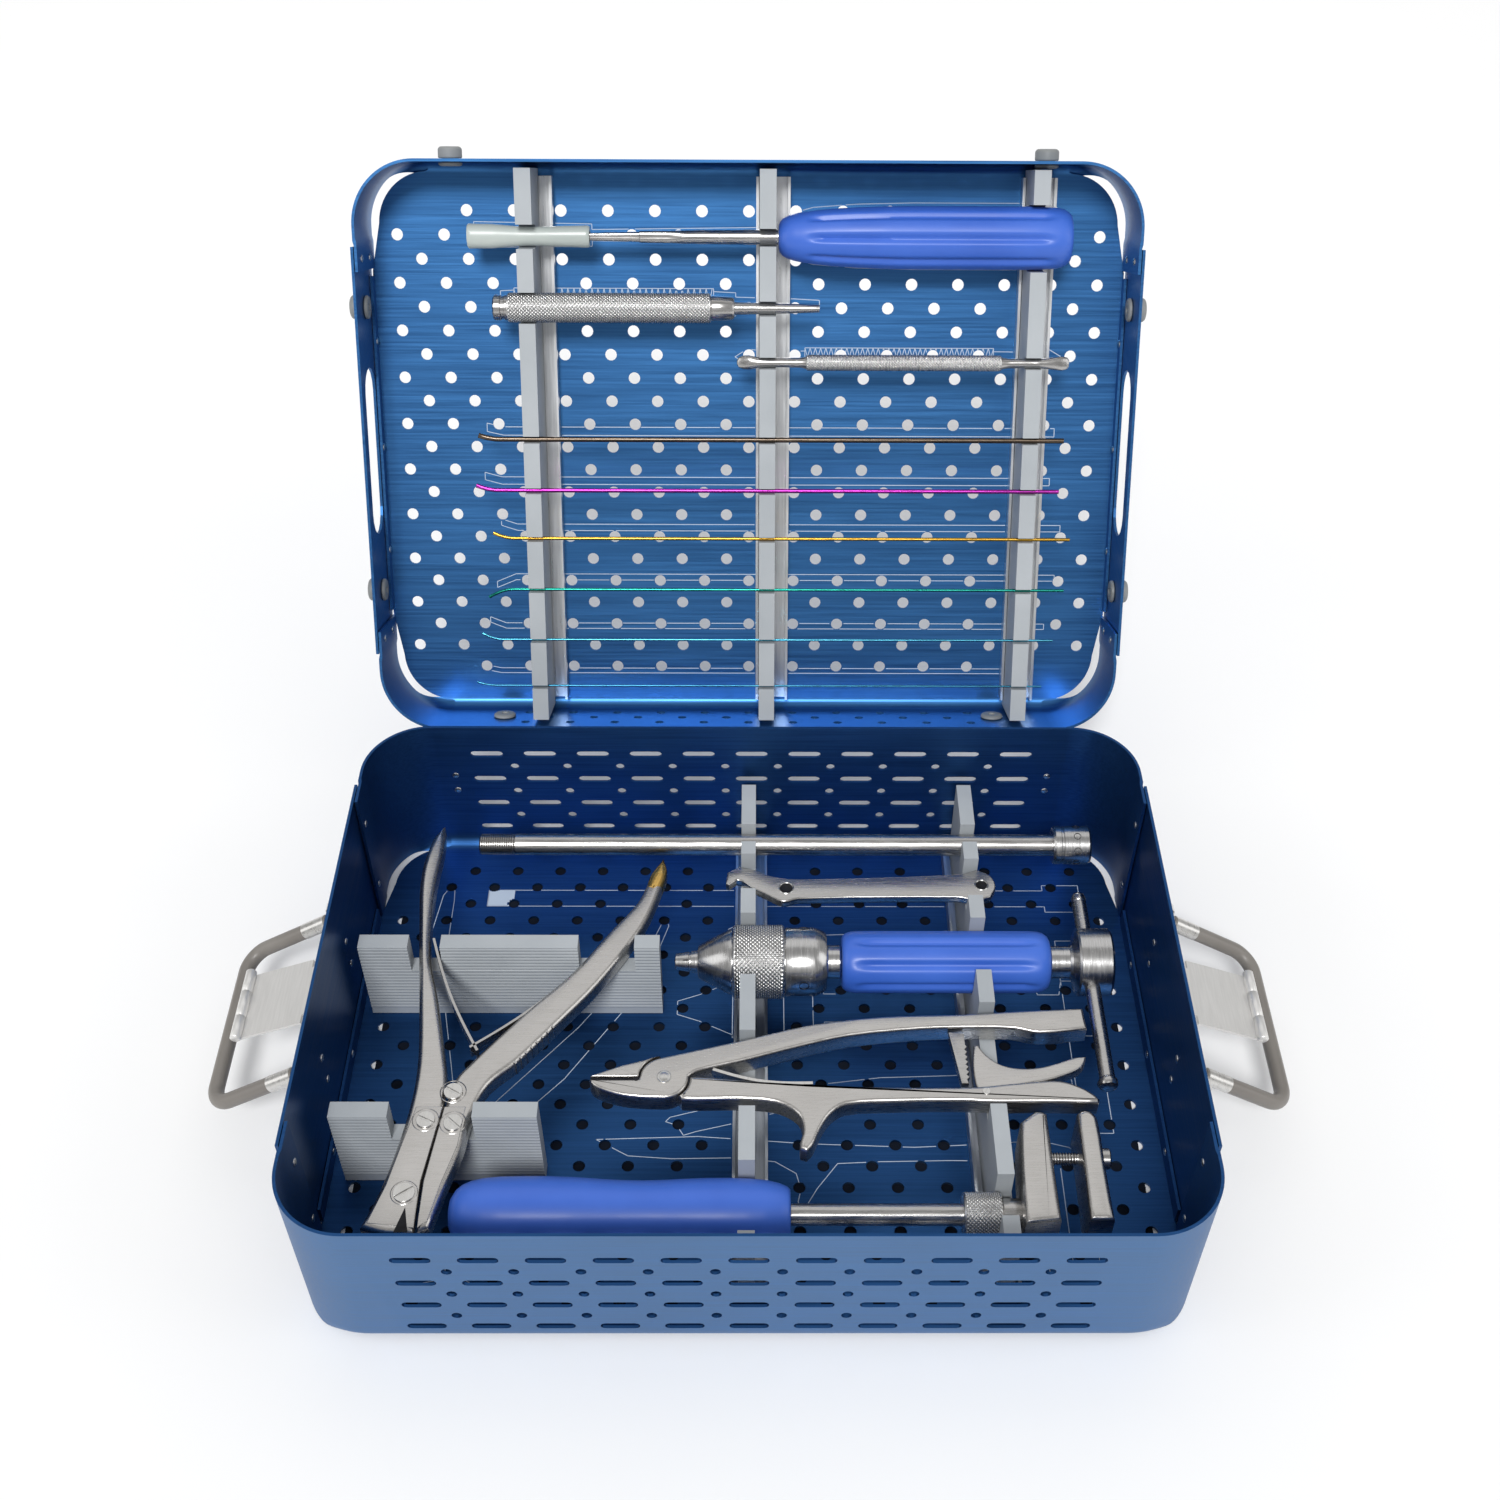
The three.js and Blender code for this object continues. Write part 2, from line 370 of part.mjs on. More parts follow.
// --------------------------------------------------------- instruments, lid
node('awl_tip_guard', turnX([[-153.6, 0], [-153.6, 6.0], [-120, 5.6], [-87, 4.9], [-87, 3.3], [-146, 3.3], [-146, 0]], AWL_Y, AWL_Z, 16), M.sleeve, lidIn);
node('awl_shaft', turnX([[-145, 0], [-140, 1.2], [-87, 2.3], [16.1, 4.1], [16.1, 0]], AWL_Y, AWL_Z, 16), M.steel, lidIn);
node('awl_handle', turnX([[16.4, 0], [16.4, 6], [18, 9.5], [24, 12.2], [36, 14.4], [60, 16.2], [92, 17], [150, 17], [164, 16.6], [172, 15.4], [176, 12.5], [176.5, 0]], AWL_Y, AWL_Z, 20), M.grip, lidIn);
node('nail_punch', turnX([[-140.1, 0], [-140.1, 6.4], [-139.4, 6.9], [-132.4, 6.9], [-132.4, 7.9], [-20.9, 7.9], [-20.9, 6.6], [-8, 6.0], [-7.7, 3.5], [25, 2.6], [39, 2], [39, 0]], -80.9, THIN_Z, 16), M.steel, lidIn);
{
  const g = turnX([[-6.6, 0], [-6.6, 2.0], [-3, 3.4], [3, 3.0], [10, 2.6], [31.5, 2.75], [32.2, 4.3], [140, 4.3], [140.7, 2.75], [160, 2.6], [167, 3.0], [174, 3.6], [178.3, 2.2], [178.3, 0]], 0, 0, 14);
  const p = g.attributes.position;
  for (let i = 0; i < p.count; i++) { // flattened spatula ends
    const X = p.getX(i), e = X < 10 ? (10 - X) / 16.6 : X > 160 ? (X - 160) / 18.3 : 0;
    p.setZ(i, p.getZ(i) * (1 - 0.6 * Math.min(1, e)));
  }
  node('elevator', g.translate(0, -51.7, THIN_Z), M.steel, lidIn);
}
for (const [name, d, tip, knee, xr, m] of NAILS) {
  const mid = [(tip[0] + knee[0]) / 2, tip[1] * 0.38 + knee[1] * 0.62];
  node(name, pointTube([[tip[0], tip[1], NAIL_Z], [mid[0], mid[1], NAIL_Z], [knee[0] + 2, knee[1], NAIL_Z], [0, knee[1], NAIL_Z], [xr, knee[1], NAIL_Z]], d / 2, 8), m, lidIn);
}

// -------------------------------------------------------- instruments, base
node('guide_rod', turnX([[-151.6, 0], [-151.6, 5.4], [-150.8, 6], [168.6, 6], [168.6, 10.2], [169.6, 10.8], [188, 10.8], [189.3, 9.8], [189.3, 0]], 113, ROD_Z, 20), M.brushed);
{
  const body = [[-13.8, 82], [-13.0, 90], [-6, 94.3], [2, 92], [10, 87.6], [25.8, 85.2], [114.2, 89], [124, 92.2], [131.5, 88], [133.7, 80], [130, 72.5], [121.5, 70.6], [112, 72.6], [25.6, 71.4], [17.5, 69.2], [9.3, 73.6], [0, 79.5], [-4.3, 83.5], [-8, 84.6], [-12, 80.8]];
  node('hook_spanner', prismZ(ccw(body), 45.6, 51, [ccw(circle(19.2, 78.6, 3.6, 12)).slice().reverse(), ccw(circle(126, 81, 3.2, 12)).slice().reverse()]), M.brushed);
}
const Y = INSERTER_Y, ZI = INSERTER_Z;
node('chuck_sleeve', turnX([[-9.6, 14.4], [-9.6, 18.6], [-8.4, 19.4], [16.9, 19.4], [17.9, 18.6], [17.9, 14.4]].concat([[-9.6, 14.4]]), Y, ZI, 20), M.steel);
node('inserter_grip', cut(solid(turnX([[48.2, 0], [48.2, 13.6], [50, 15.6], [56, 16.5], [148, 16.5], [155, 15.4], [158.3, 12.4], [158.3, 0]], Y, ZI, 20)),
  turnX([[40, 0], [40, 6.3], [170, 6.3], [170, 0]], Y, ZI, 16)), M.grip);
{
  let hub = union(turnX([[-40.2, 0], [-40.2, 4.2], [-28, 6.2], [-28, 8.6], [-10.1, 17.6], [-10.1, 14.0], [18.4, 14.0], [18.4, 18.2], [34, 18.2], [40.1, 15.5], [40.1, 9], [47.8, 9], [47.8, 6], [165, 6], [165, 0]], Y, ZI, 18),
    turnX([[158.7, 0], [158.7, 8.6], [169.6, 8.6], [171.6, 12], [172.6, 17.4], [174, 18], [189.6, 18], [190.9, 16.8], [190.9, 0]], Y, ZI, 18));
  hub = cut(hub, turnY([[-50, 0], [-50, 4.4], [90, 4.4], [90, 0]], 179.8, ZI, 14));
  node('inserter_body', hub, M.steel);
  node('t_bar', turnY([[-45, 0], [-45, 3.4], [-43.8, 5], [-40.6, 5], [-39.2, 4], [79, 4], [81.6, 2.8], [81.6, 0]], 179.8, ZI, 14), M.steel);
}
{
  // locking pliers: two levers that cross at a half-lapped pivot, and a release lever
  const z0 = PLIERS_Z - 6, z1 = PLIERS_Z + 6, px = -42.5, py = -48, R = 9.4;
  const upHandle = ccw([[-34.5, -46.5], [-38, -40.5], [-44, -38.2], [-41.7, -35.6], [-34, -33.4], [-5.2, -25.8], [31.4, -15.9], [68.8, -10.9], [106.2, -9.6], [169.7, -5.7], [170.4, -18.3], [146, -20.8], [133.1, -18], [86.7, -18.4], [50, -22.7], [24, -29.5], [-5.1, -38.4], [-28, -44.2]]);
  const loJaw = ccw([[-79.3, -49], [-44, -49], [-44, -54], [-47, -59.4], [-62.5, -58.7], [-77.1, -52.9]]);
  const upJaw = ccw([[-79.3, -48.4], [-70.7, -43.4], [-56, -38.6], [-47, -37.4], [-44, -42], [-44, -48.4]]);
  const keep = (m, za, zb) => cut(m, prismZ(circle(px, py, R + 0.4, 24), za, zb));
  let up = keep(union(prismZ(upHandle, z0, z1)), PLIERS_Z - 0.15, z1 + 1).add(keep(union(prismZ(loJaw, z0, z1)), PLIERS_Z - 0.15, z1 + 1));
  up = up.add(solid(prismZ(circle(px, py, R, 24), z0, PLIERS_Z - 0.15)));
  node('pliers_arm_upper', up, M.steel);
  const loHandle = ccw([[-34.4, -50.5], [-27, -47.2], [-5, -49.2], [30.6, -51.6], [48.9, -53.6], [84.5, -53.6], [110.6, -53.4], [110.6, -60.2], [66.3, -62.1], [44.6, -63.2], [34, -77.5], [27, -89.8], [24.1, -85.4], [25.7, -78.1], [23.4, -69], [12.8, -62.2], [-4.9, -59.8], [-40, -60.4], [-43, -57]]);
  const tail = ccw([[84.4, -53.6], [110.6, -53.4], [115, -53.6], [127, -51.4], [148, -49.4], [153.8, -49.6], [163.7, -53.6], [171.2, -60.3], [171, -62.4], [156.1, -62.2], [137.9, -62], [120, -62.2], [102.3, -61.4], [84.4, -61.4]]);
  const slot = box(108.6, 175, -58.6, -40, PLIERS_Z - 3, PLIERS_Z + 3);
  let lo = keep(union(prismZ(loHandle, z0, z1)), z0 - 1, PLIERS_Z + 0.15).add(keep(union(prismZ(upJaw, z0, z1)), z0 - 1, PLIERS_Z + 0.15));
  lo = lo.add(solid(prismZ(circle(px, py, R, 24), PLIERS_Z + 0.15, z1)));
  lo = cut(lo.add(solid(prismZ(tail, z0, z1))), slot);
  node('pliers_arm_lower', lo, M.steel);
  node('pliers_lever', prismZ(ccw([[112.4, -27.5], [114.6, -27.5], [118.4, -33.8], [128.8, -40.6], [143.7, -41], [156.7, -37], [168, -34.4], [163.6, -42], [147.8, -48.4], [127.4, -54], [117, -57.2], [113, -56.4], [111.4, -50.5], [111, -39.7]]), PLIERS_Z - 2.4, PLIERS_Z + 2.4), M.steel);
}
{
  // bone cutter: two levers half-lapped over the whole jaw block
  const z0 = CUTTER_Z - 6, z1 = CUTTER_Z + 6, zm = CUTTER_Z;
  const block = ccw([[-165.6, -46.5], [-140, -46.5], [-136.2, -64.7], [-137.4, -71.5], [-138.2, -83.9], [-144, -104.8], [-149, -127.6], [-165, -131], [-181, -127.6], [-174.5, -108], [-167, -66]]);
  const left = ccw([[-172.5, 125], [-178.1, 115.1], [-181.2, 89.2], [-177.7, 53.8], [-171.5, 7.2], [-166.8, -30.4], [-165.6, -46.6], [-152.4, -46.6], [-153.6, -30.4], [-162.2, 7.2], [-171.3, 53.8], [-174.0, 82], [-171.4, 111.4]]);
  node('cutter_left', union(prismZ(left, z0, z1), prismZ(block, z0, zm - 0.15)).subtract(solid(box(-190, -120, -140, -44.2, zm - 0.15, z1 + 1))), M.steel);
  const right = ccw([[-48.9, 100.2], [-47, 92.4], [-53, 64.5], [-60.3, 47.1], [-79.6, 13.7], [-98.5, -11.8], [-116.7, -35.2], [-129.7, -46.6], [-148.6, -46.6], [-146, -42], [-140.4, -36], [-131.8, -24.5], [-112.4, -0.5], [-93, 22], [-75, 52.5], [-58.4, 73.5], [-54.6, 90]]);
  const rightBlock = cut(solid(prismZ(block, zm + 0.15, z1)), box(-190, -150.6, -49, -40, zm, z1 + 1));
  node('cutter_right', cut(solid(prismZ(right, z0, z1)), box(-190, -120, -60, -44.2, z0 - 1, zm + 0.15)).add(rightBlock), M.steel);
}
{
  // screw clamp on a contoured grip
  const g = turnX([[-142, 0], [-142, 6], [-139, 11.5], [-132, 15.6], [-118, 17.6], [-95, 17.8], [-72, 16.6], [-50, 15.8], [-30, 16.6], [-10, 17], [8, 16], [19, 12.6], [19.3, 0]], CLAMP_Y, CLAMP_Z, 18);
  node('clamp_grip', g, M.grip);
  const shaft = turnX([[19.6, 0], [19.6, 5.2], [101, 5.2], [101, 9.6], [102, 10.4], [118.5, 10.4], [119.5, 9.6], [119.5, 7.5], [131, 7.5], [131, 0]], CLAMP_Y, CLAMP_Z, 20);
  const jaw = prismZ(ccw([[128.4, -128], [145.2, -126], [144.7, -68], [139, -67], [131.3, -73]]), CLAMP_Z - 15, CLAMP_Z + 15);
  const screw = turnX([[140, 0], [140, 3], [171, 3], [171, 5.2], [175, 5.2], [175, 0]], -84.6, CLAMP_Z, 14);
  const jaw2 = prismZ(ccw([[158.6, -126], [170, -126], [169, -71], [163, -66], [159.5, -68]]), CLAMP_Z - 15, CLAMP_Z + 15);
  node('clamp_head', union(shaft, jaw, screw, jaw2), M.brushed);
}

export default root;
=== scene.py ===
import math

import bmesh
import bpy
from mathutils import Matrix, Vector


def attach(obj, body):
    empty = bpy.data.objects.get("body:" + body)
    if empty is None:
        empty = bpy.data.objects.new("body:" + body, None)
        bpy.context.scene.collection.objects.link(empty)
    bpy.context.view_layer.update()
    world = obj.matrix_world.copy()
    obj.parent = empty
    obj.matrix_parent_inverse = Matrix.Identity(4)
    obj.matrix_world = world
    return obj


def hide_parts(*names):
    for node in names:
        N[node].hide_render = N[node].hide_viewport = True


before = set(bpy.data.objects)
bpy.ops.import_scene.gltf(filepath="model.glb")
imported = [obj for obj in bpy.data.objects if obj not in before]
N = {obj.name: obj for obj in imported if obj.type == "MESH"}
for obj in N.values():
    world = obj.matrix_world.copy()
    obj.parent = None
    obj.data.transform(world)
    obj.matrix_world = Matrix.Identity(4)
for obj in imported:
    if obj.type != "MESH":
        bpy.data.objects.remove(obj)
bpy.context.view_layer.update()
pi = math.pi

# ------------------------------------------------------------------ dimensions, mm
T = 1.5
HALF_W, HALF_D = 213.0, 158.5
LID_TOP = 141.8
PANEL_Z = 140.3
HINGE = Vector((-2.0, 163.75, 70.03))
LID = Matrix.Translation(HINGE) @ Matrix.Rotation(math.radians(-117.4), 4, "X") @ Matrix.Translation(Vector((0, -163.75, -70.03)))


# ------------------------------------------------------------------ materials
def tree(name):
    m = bpy.data.materials.new(name)
    m.use_nodes = True
    nt = m.node_tree
    return m, nt, nt.nodes["Principled BSDF"]


def noise(nt, scale, detail=3.0, rough=0.55):
    co = nt.nodes.new("ShaderNodeTexCoord")
    mp = nt.nodes.new("ShaderNodeMapping")
    mp.inputs["Scale"].default_value = scale
    nt.links.new(co.outputs["Object"], mp.inputs["Vector"])
    no = nt.nodes.new("ShaderNodeTexNoise")
    no.inputs["Scale"].default_value = 1.0
    no.inputs["Detail"].default_value = detail
    no.inputs["Roughness"].default_value = rough
    nt.links.new(mp.outputs["Vector"], no.inputs["Vector"])
    return no.outputs["Fac"]


def span(nt, fac, lo, hi, a=0.3, b=0.7):
    r = nt.nodes.new("ShaderNodeMapRange")
    r.inputs["From Min"].default_value = a
    r.inputs["From Max"].default_value = b
    r.inputs["To Min"].default_value = lo
    r.inputs["To Max"].default_value = hi
    nt.links.new(fac, r.inputs["Value"])
    return r.outputs["Result"]


def ramp(nt, fac, c0, c1, a=0.3, b=0.7):
    r = nt.nodes.new("ShaderNodeValToRGB")
    r.color_ramp.elements[0].position = a
    r.color_ramp.elements[1].position = b
    r.color_ramp.elements[0].color = (*c0, 1)
    r.color_ramp.elements[1].color = (*c1, 1)
    nt.links.new(fac, r.inputs["Fac"])
    return r.outputs["Color"]


def bump(nt, p, fac, dist, strength=1.0):
    b = nt.nodes.new("ShaderNodeBump")
    b.inputs["Distance"].default_value = dist
    b.inputs["Strength"].default_value = strength
    nt.links.new(fac, b.inputs["Height"])
    nt.links.new(b.outputs["Normal"], p.inputs["Normal"])


def metal(name, c0, c1, rough=(0.28, 0.42), streak=(40, 1100, 1100), metallic=1.0, dist=0.00003, cloud=14.0):
    m, nt, p = tree(name)
    p.inputs["Metallic"].default_value = metallic
    f = noise(nt, streak, 3.0)
    g = noise(nt, (cloud, cloud, cloud), 2.0)
    mix = nt.nodes.new("ShaderNodeMath")
    mix.operation = "MULTIPLY_ADD"
    nt.links.new(g, mix.inputs[0])
    mix.inputs[1].default_value = 0.35
    nt.links.new(f, mix.inputs[2])
    nt.links.new(ramp(nt, mix.outputs[0], c0, c1, 0.45, 0.9), p.inputs["Base Color"])
    nt.links.new(span(nt, f, rough[0], rough[1]), p.inputs["Roughness"])
    bump(nt, p, f, dist)
    return m


def plastic(name, c0, c1, rough=(0.4, 0.55), grain=900.0, dist=0.00002, sss=0.0, coat=0.0, spec=0.5):
    m, nt, p = tree(name)
    f = noise(nt, (grain, grain, grain), 2.0)
    g = noise(nt, (22, 22, 22), 3.0)
    nt.links.new(ramp(nt, g, c0, c1), p.inputs["Base Color"])
    nt.links.new(span(nt, g, rough[0], rough[1]), p.inputs["Roughness"])
    p.inputs["Specular IOR Level"].default_value = spec
    p.inputs["Coat Weight"].default_value = coat
    p.inputs["Coat Roughness"].default_value = 0.25
    bump(nt, p, f, dist)
    return m


BASE_BLUE = metal("base_blue", (0.016, 0.066, 0.195), (0.026, 0.100, 0.280), (0.42, 0.52), (16, 900, 900), 0.92)
BASE_SIDE = metal("base_side_blue", (0.013, 0.060, 0.180), (0.021, 0.088, 0.250), (0.30, 0.40), (900, 16, 900), 0.92)
# painted reflection: the outer front face gets a milky sheen added into its base colour, standing in for the pale table
# it reflects; it fades round the corners
bnt = BASE_BLUE.node_tree
bp_ = next(n for n in bnt.nodes if n.type == "BSDF_PRINCIPLED")
btc = bnt.nodes.new("ShaderNodeTexCoord")
bsn = bnt.nodes.new("ShaderNodeSeparateXYZ")
bnt.links.new(btc.outputs["Normal"], bsn.inputs[0])
bsp = bnt.nodes.new("ShaderNodeSeparateXYZ")
bnt.links.new(btc.outputs["Object"], bsp.inputs[0])
bm1 = bnt.nodes.new("ShaderNodeMath")
bm1.operation = "MULTIPLY"
bm1.use_clamp = True
bnt.links.new(bsn.outputs["Y"], bm1.inputs[0])
bm1.inputs[1].default_value = -1.0
bm2 = bnt.nodes.new("ShaderNodeMath")
bm2.operation = "LESS_THAN"
bnt.links.new(bsp.outputs["Y"], bm2.inputs[0])
bm2.inputs[1].default_value = -0.05
painted_sheen_mask = bnt.nodes.new("ShaderNodeMath")
painted_sheen_mask.operation = "MULTIPLY"
bnt.links.new(bm1.outputs[0], painted_sheen_mask.inputs[0])
bnt.links.new(bm2.outputs[0], painted_sheen_mask.inputs[1])
painted_sheen_mix = bnt.nodes.new("ShaderNodeMix")
painted_sheen_mix.data_type = "RGBA"
painted_sheen_mix.blend_type = "ADD"
bnt.links.new(painted_sheen_mask.outputs[0], painted_sheen_mix.inputs[0])
bnt.links.new(bp_.inputs["Base Color"].links[0].from_socket, painted_sheen_mix.inputs[6])
# painted reflection: the milky colour added on the outer front face
painted_sheen_mix.inputs[7].default_value = (0.080, 0.120, 0.150, 1.0)
bnt.links.new(painted_sheen_mix.outputs[2], bp_.inputs["Base Color"])
LID_BLUE = metal("lid_blue", (0.035, 0.135, 0.345), (0.052, 0.190, 0.450), (0.32, 0.44), (14, 800, 800), 0.90)
LID_SIDE = metal("lid_side_blue", (0.030, 0.120, 0.310), (0.042, 0.160, 0.400), (0.32, 0.44), (800, 14, 800), 0.90)
STEEL = metal("satin_steel", (0.42, 0.41, 0.40), (0.54, 0.53, 0.52), (0.20, 0.32), (60, 900, 900))
STEEL_FINE = metal("turned_steel", (0.46, 0.455, 0.45), (0.58, 0.575, 0.57), (0.18, 0.28), (1400, 120, 120))
FORGED = metal("forged_steel", (0.50, 0.485, 0.465), (0.61, 0.59, 0.57), (0.24, 0.34), (90, 1500, 1500), cloud=30.0, dist=0.000006)
LATCHM = metal("latch_plate_steel", (0.72, 0.71, 0.69), (0.80, 0.79, 0.77), (0.34, 0.42), (900, 60, 900), 0.55, cloud=20.0, dist=0.000006)
KNURLED = metal("knurled_steel", (0.66, 0.655, 0.645), (0.76, 0.755, 0.745), (0.22, 0.32), (1400, 400, 400), dist=0.00001)
# painted shade: the knurled base colour is darkened in the grooves, picked out by the mesh's pointiness
knt = KNURLED.node_tree
kp = next(n for n in knt.nodes if n.type == "BSDF_PRINCIPLED")
kg = knt.nodes.new("ShaderNodeNewGeometry")
painted_groove_shade = ramp(knt, kg.outputs["Pointiness"], (0.16, 0.16, 0.165), (1.0, 1.0, 1.0), 0.43, 0.52)
groove_shade_mix = knt.nodes.new("ShaderNodeMix")
groove_shade_mix.data_type = "RGBA"
groove_shade_mix.blend_type = "MULTIPLY"
groove_shade_mix.inputs[0].default_value = 1.0
knt.links.new(kp.inputs["Base Color"].links[0].from_socket, groove_shade_mix.inputs[6])
knt.links.new(painted_groove_shade, groove_shade_mix.inputs[7])
knt.links.new(groove_shade_mix.outputs[2], kp.inputs["Base Color"])
STAIN = metal("pressed_stainless", (0.58, 0.57, 0.55), (0.74, 0.73, 0.71), (0.24, 0.36), (500, 60, 500))
ALU = metal("bright_channel", (0.70, 0.71, 0.72), (0.86, 0.87, 0.88), (0.26, 0.38), (700, 25, 25), 0.95)
RAIL = metal("channel_blue_grey", (0.40, 0.43, 0.47), (0.56, 0.60, 0.66), (0.28, 0.42), (700, 25, 25), 0.95)
GUN = metal("gunmetal_anodised", (0.085, 0.065, 0.050), (0.150, 0.115, 0.085), (0.22, 0.32), (60, 900, 900))
MAG = metal("magenta_anodised", (0.34, 0.030, 0.30), (0.50, 0.060, 0.45), (0.22, 0.32), (60, 900, 900))
GOLD = metal("gold_anodised", (0.44, 0.24, 0.030), (0.60, 0.36, 0.060), (0.22, 0.32), (60, 900, 900))
GREEN = metal("green_anodised", (0.015, 0.22, 0.17), (0.03, 0.34, 0.27), (0.22, 0.32), (60, 900, 900))
TEAL = metal("light_teal_anodised", (0.05, 0.24, 0.34), (0.08, 0.34, 0.46), (0.22, 0.32), (60, 900, 900))
DTEAL = metal("dark_teal_anodised", (0.03, 0.15, 0.24), (0.05, 0.22, 0.33), (0.22, 0.32), (60, 900, 900))
GILT = metal("gilt_tip", (0.62, 0.38, 0.10), (0.80, 0.54, 0.18), (0.18, 0.30), (80, 500, 500))
SILI = plastic("silicone_grey", (0.375, 0.405, 0.43), (0.44, 0.47, 0.495), (0.46, 0.60), 700.0, 0.00002)
GRIP = plastic("blue_grip_polymer", (0.038, 0.125, 0.560), (0.050, 0.155, 0.650), (0.36, 0.50), 1600.0, 0.00002, coat=0.15)
BAILM = plastic("dipped_coating_taupe", (0.175, 0.160, 0.145), (0.22, 0.205, 0.185), (0.34, 0.50), 900.0, 0.00004, coat=0.1)
RUB = plastic("grey_rubber", (0.20, 0.21, 0.21), (0.28, 0.29, 0.29), (0.45, 0.6), 900.0, 0.00003)
SLEEVE = plastic("tip_sleeve", (0.42, 0.47, 0.45), (0.52, 0.57, 0.54), (0.26, 0.40), 500.0, 0.00002, coat=0.3)
ETCH = plastic("etched_line", (0.50, 0.60, 0.74), (0.62, 0.71, 0.83), (0.5, 0.6), 900.0, 0.00001)
# painted shade: near-black material for holes, slits, notches and tooth gaps, standing in for the shade inside them
RECESS_SHADE = metal("painted_recess_shade", (0.02, 0.02, 0.022), (0.05, 0.05, 0.055), (0.4, 0.6), (200, 200, 200))


# ------------------------------------------------------------------ mesh helpers (mm in, metres out)
def finish_mesh(me, sharp=32.0):
    bm = bmesh.new()
    bm.from_mesh(me)
    bmesh.ops.recalc_face_normals(bm, faces=bm.faces)
    lim = math.radians(sharp)
    for f in bm.faces:
        f.smooth = True
    for e in bm.edges:
        e.smooth = len(e.link_faces) == 2 and e.calc_face_angle(0.0) < lim
    bm.to_mesh(me)
    bm.free()


def piece(name, verts, faces, body, material, stands=(), slot=None, matrix=None, sharp=32.0, bevel=0.0, weld=0.0):
    me = bpy.data.meshes.new(name)
    if matrix is not None:
        verts = [matrix @ Vector(v) for v in verts]
    me.from_pydata([(v[0] / 1000, v[1] / 1000, v[2] / 1000) for v in verts], [], faces)
    if weld:
        bm = bmesh.new()
        bm.from_mesh(me)
        bmesh.ops.remove_doubles(bm, verts=bm.verts, dist=weld / 1000)
        bm.to_mesh(me)
        bm.free()
    finish_mesh(me, sharp)
    me.materials.append(material)
    ob = bpy.data.objects.new(name, me)
    bpy.context.scene.collection.objects.link(ob)
    if bevel:
        add_bevel(ob, bevel)
    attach(ob, body)
    if stands:
        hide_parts(*stands)
    return ob


def add_bevel(ob, width, seg=2, angle=35.0):
    b = ob.modifiers.new("edge", "BEVEL")
    b.width = width / 1000
    b.segments = seg
    b.limit_method = "ANGLE"
    b.angle_limit = math.radians(angle)
    b.use_clamp_overlap = True
    b.harden_normals = False


def join(parts):
    """one vertex and face list out of several"""
    V, F = [], []
    for v, f in parts:
        o = len(V)
        V += v
        F += [tuple(i + o for i in q) for q in f]
    return V, F


def arc(cx, cy, r, a0, a1, n):
    return [(cx + r * math.cos(math.radians(a0 + (a1 - a0) * i / n)), cy + r * math.sin(math.radians(a0 + (a1 - a0) * i / n))) for i in range(n + 1)]


def circle(cx, cy, r, n=14, ph=0.0):
    return [(cx + r * math.cos(2 * pi * i / n + ph), cy + r * math.sin(2 * pi * i / n + ph)) for i in range(n)]


def obround(cx, cy, w, h, n=5):
    r = h / 2
    a = w / 2 - r
    return arc(cx + a, cy, r, -90, 90, n) + arc(cx - a, cy, r, 90, 270, n)


def prism(poly, z0, z1):
    n = len(poly)
    V = [(x, y, z0) for x, y in poly] + [(x, y, z1) for x, y in poly]
    F = [tuple(range(n))[::-1], tuple(range(n, 2 * n))] + [(i, (i + 1) % n, n + (i + 1) % n, n + i) for i in range(n)]
    return V, F


def turned(profile, n=48, at=(0, 0, 0), axis="X", fn=None, dx=None):
    """profile [(along, radius)], optional fn(along, angle, r) -> r, dx = longest step along"""
    P = []
    for (a, b) in zip(profile[:-1], profile[1:]):
        k = 1
        if dx and abs(b[0] - a[0]) > dx and a[1] > 0.01 and b[1] > 0.01:
            k = int(abs(b[0] - a[0]) / dx) + 1
        for j in range(k):
            P.append((a[0] + (b[0] - a[0]) * j / k, a[1] + (b[1] - a[1]) * j / k))
    P.append(profile[-1])
    V, rings = [], []
    for s, r in P:
        if r < 1e-6:
            rings.append([len(V)])
            V.append((s, 0, 0))
        else:
            ids = []
            for i in range(n):
                t = 2 * pi * i / n
                q = fn(s, t, r) if fn else r
                ids.append(len(V))
                V.append((s, q * math.cos(t), q * math.sin(t)))
            rings.append(ids)
    F = []
    for a, b in zip(rings[:-1], rings[1:]):
        if len(a) == 1 and len(b) == 1:
            continue
        for i in range(n):
            j = (i + 1) % n
            if len(a) == 1:
                F.append((a[0], b[i], b[j]))
            elif len(b) == 1:
                F.append((a[i], b[0], a[j]))
            else:
                F.append((a[i], b[i], b[j], a[j]))
    ox, oy, oz = at
    if axis == "X":
        V = [(x + ox, y + oy, z + oz) for x, y, z in V]
    elif axis == "Y":
        V = [(y + ox, x + oy, z + oz) for x, y, z in V]
    else:
        V = [(y + ox, z + oy, x + oz) for x, y, z in V]
    return V, F


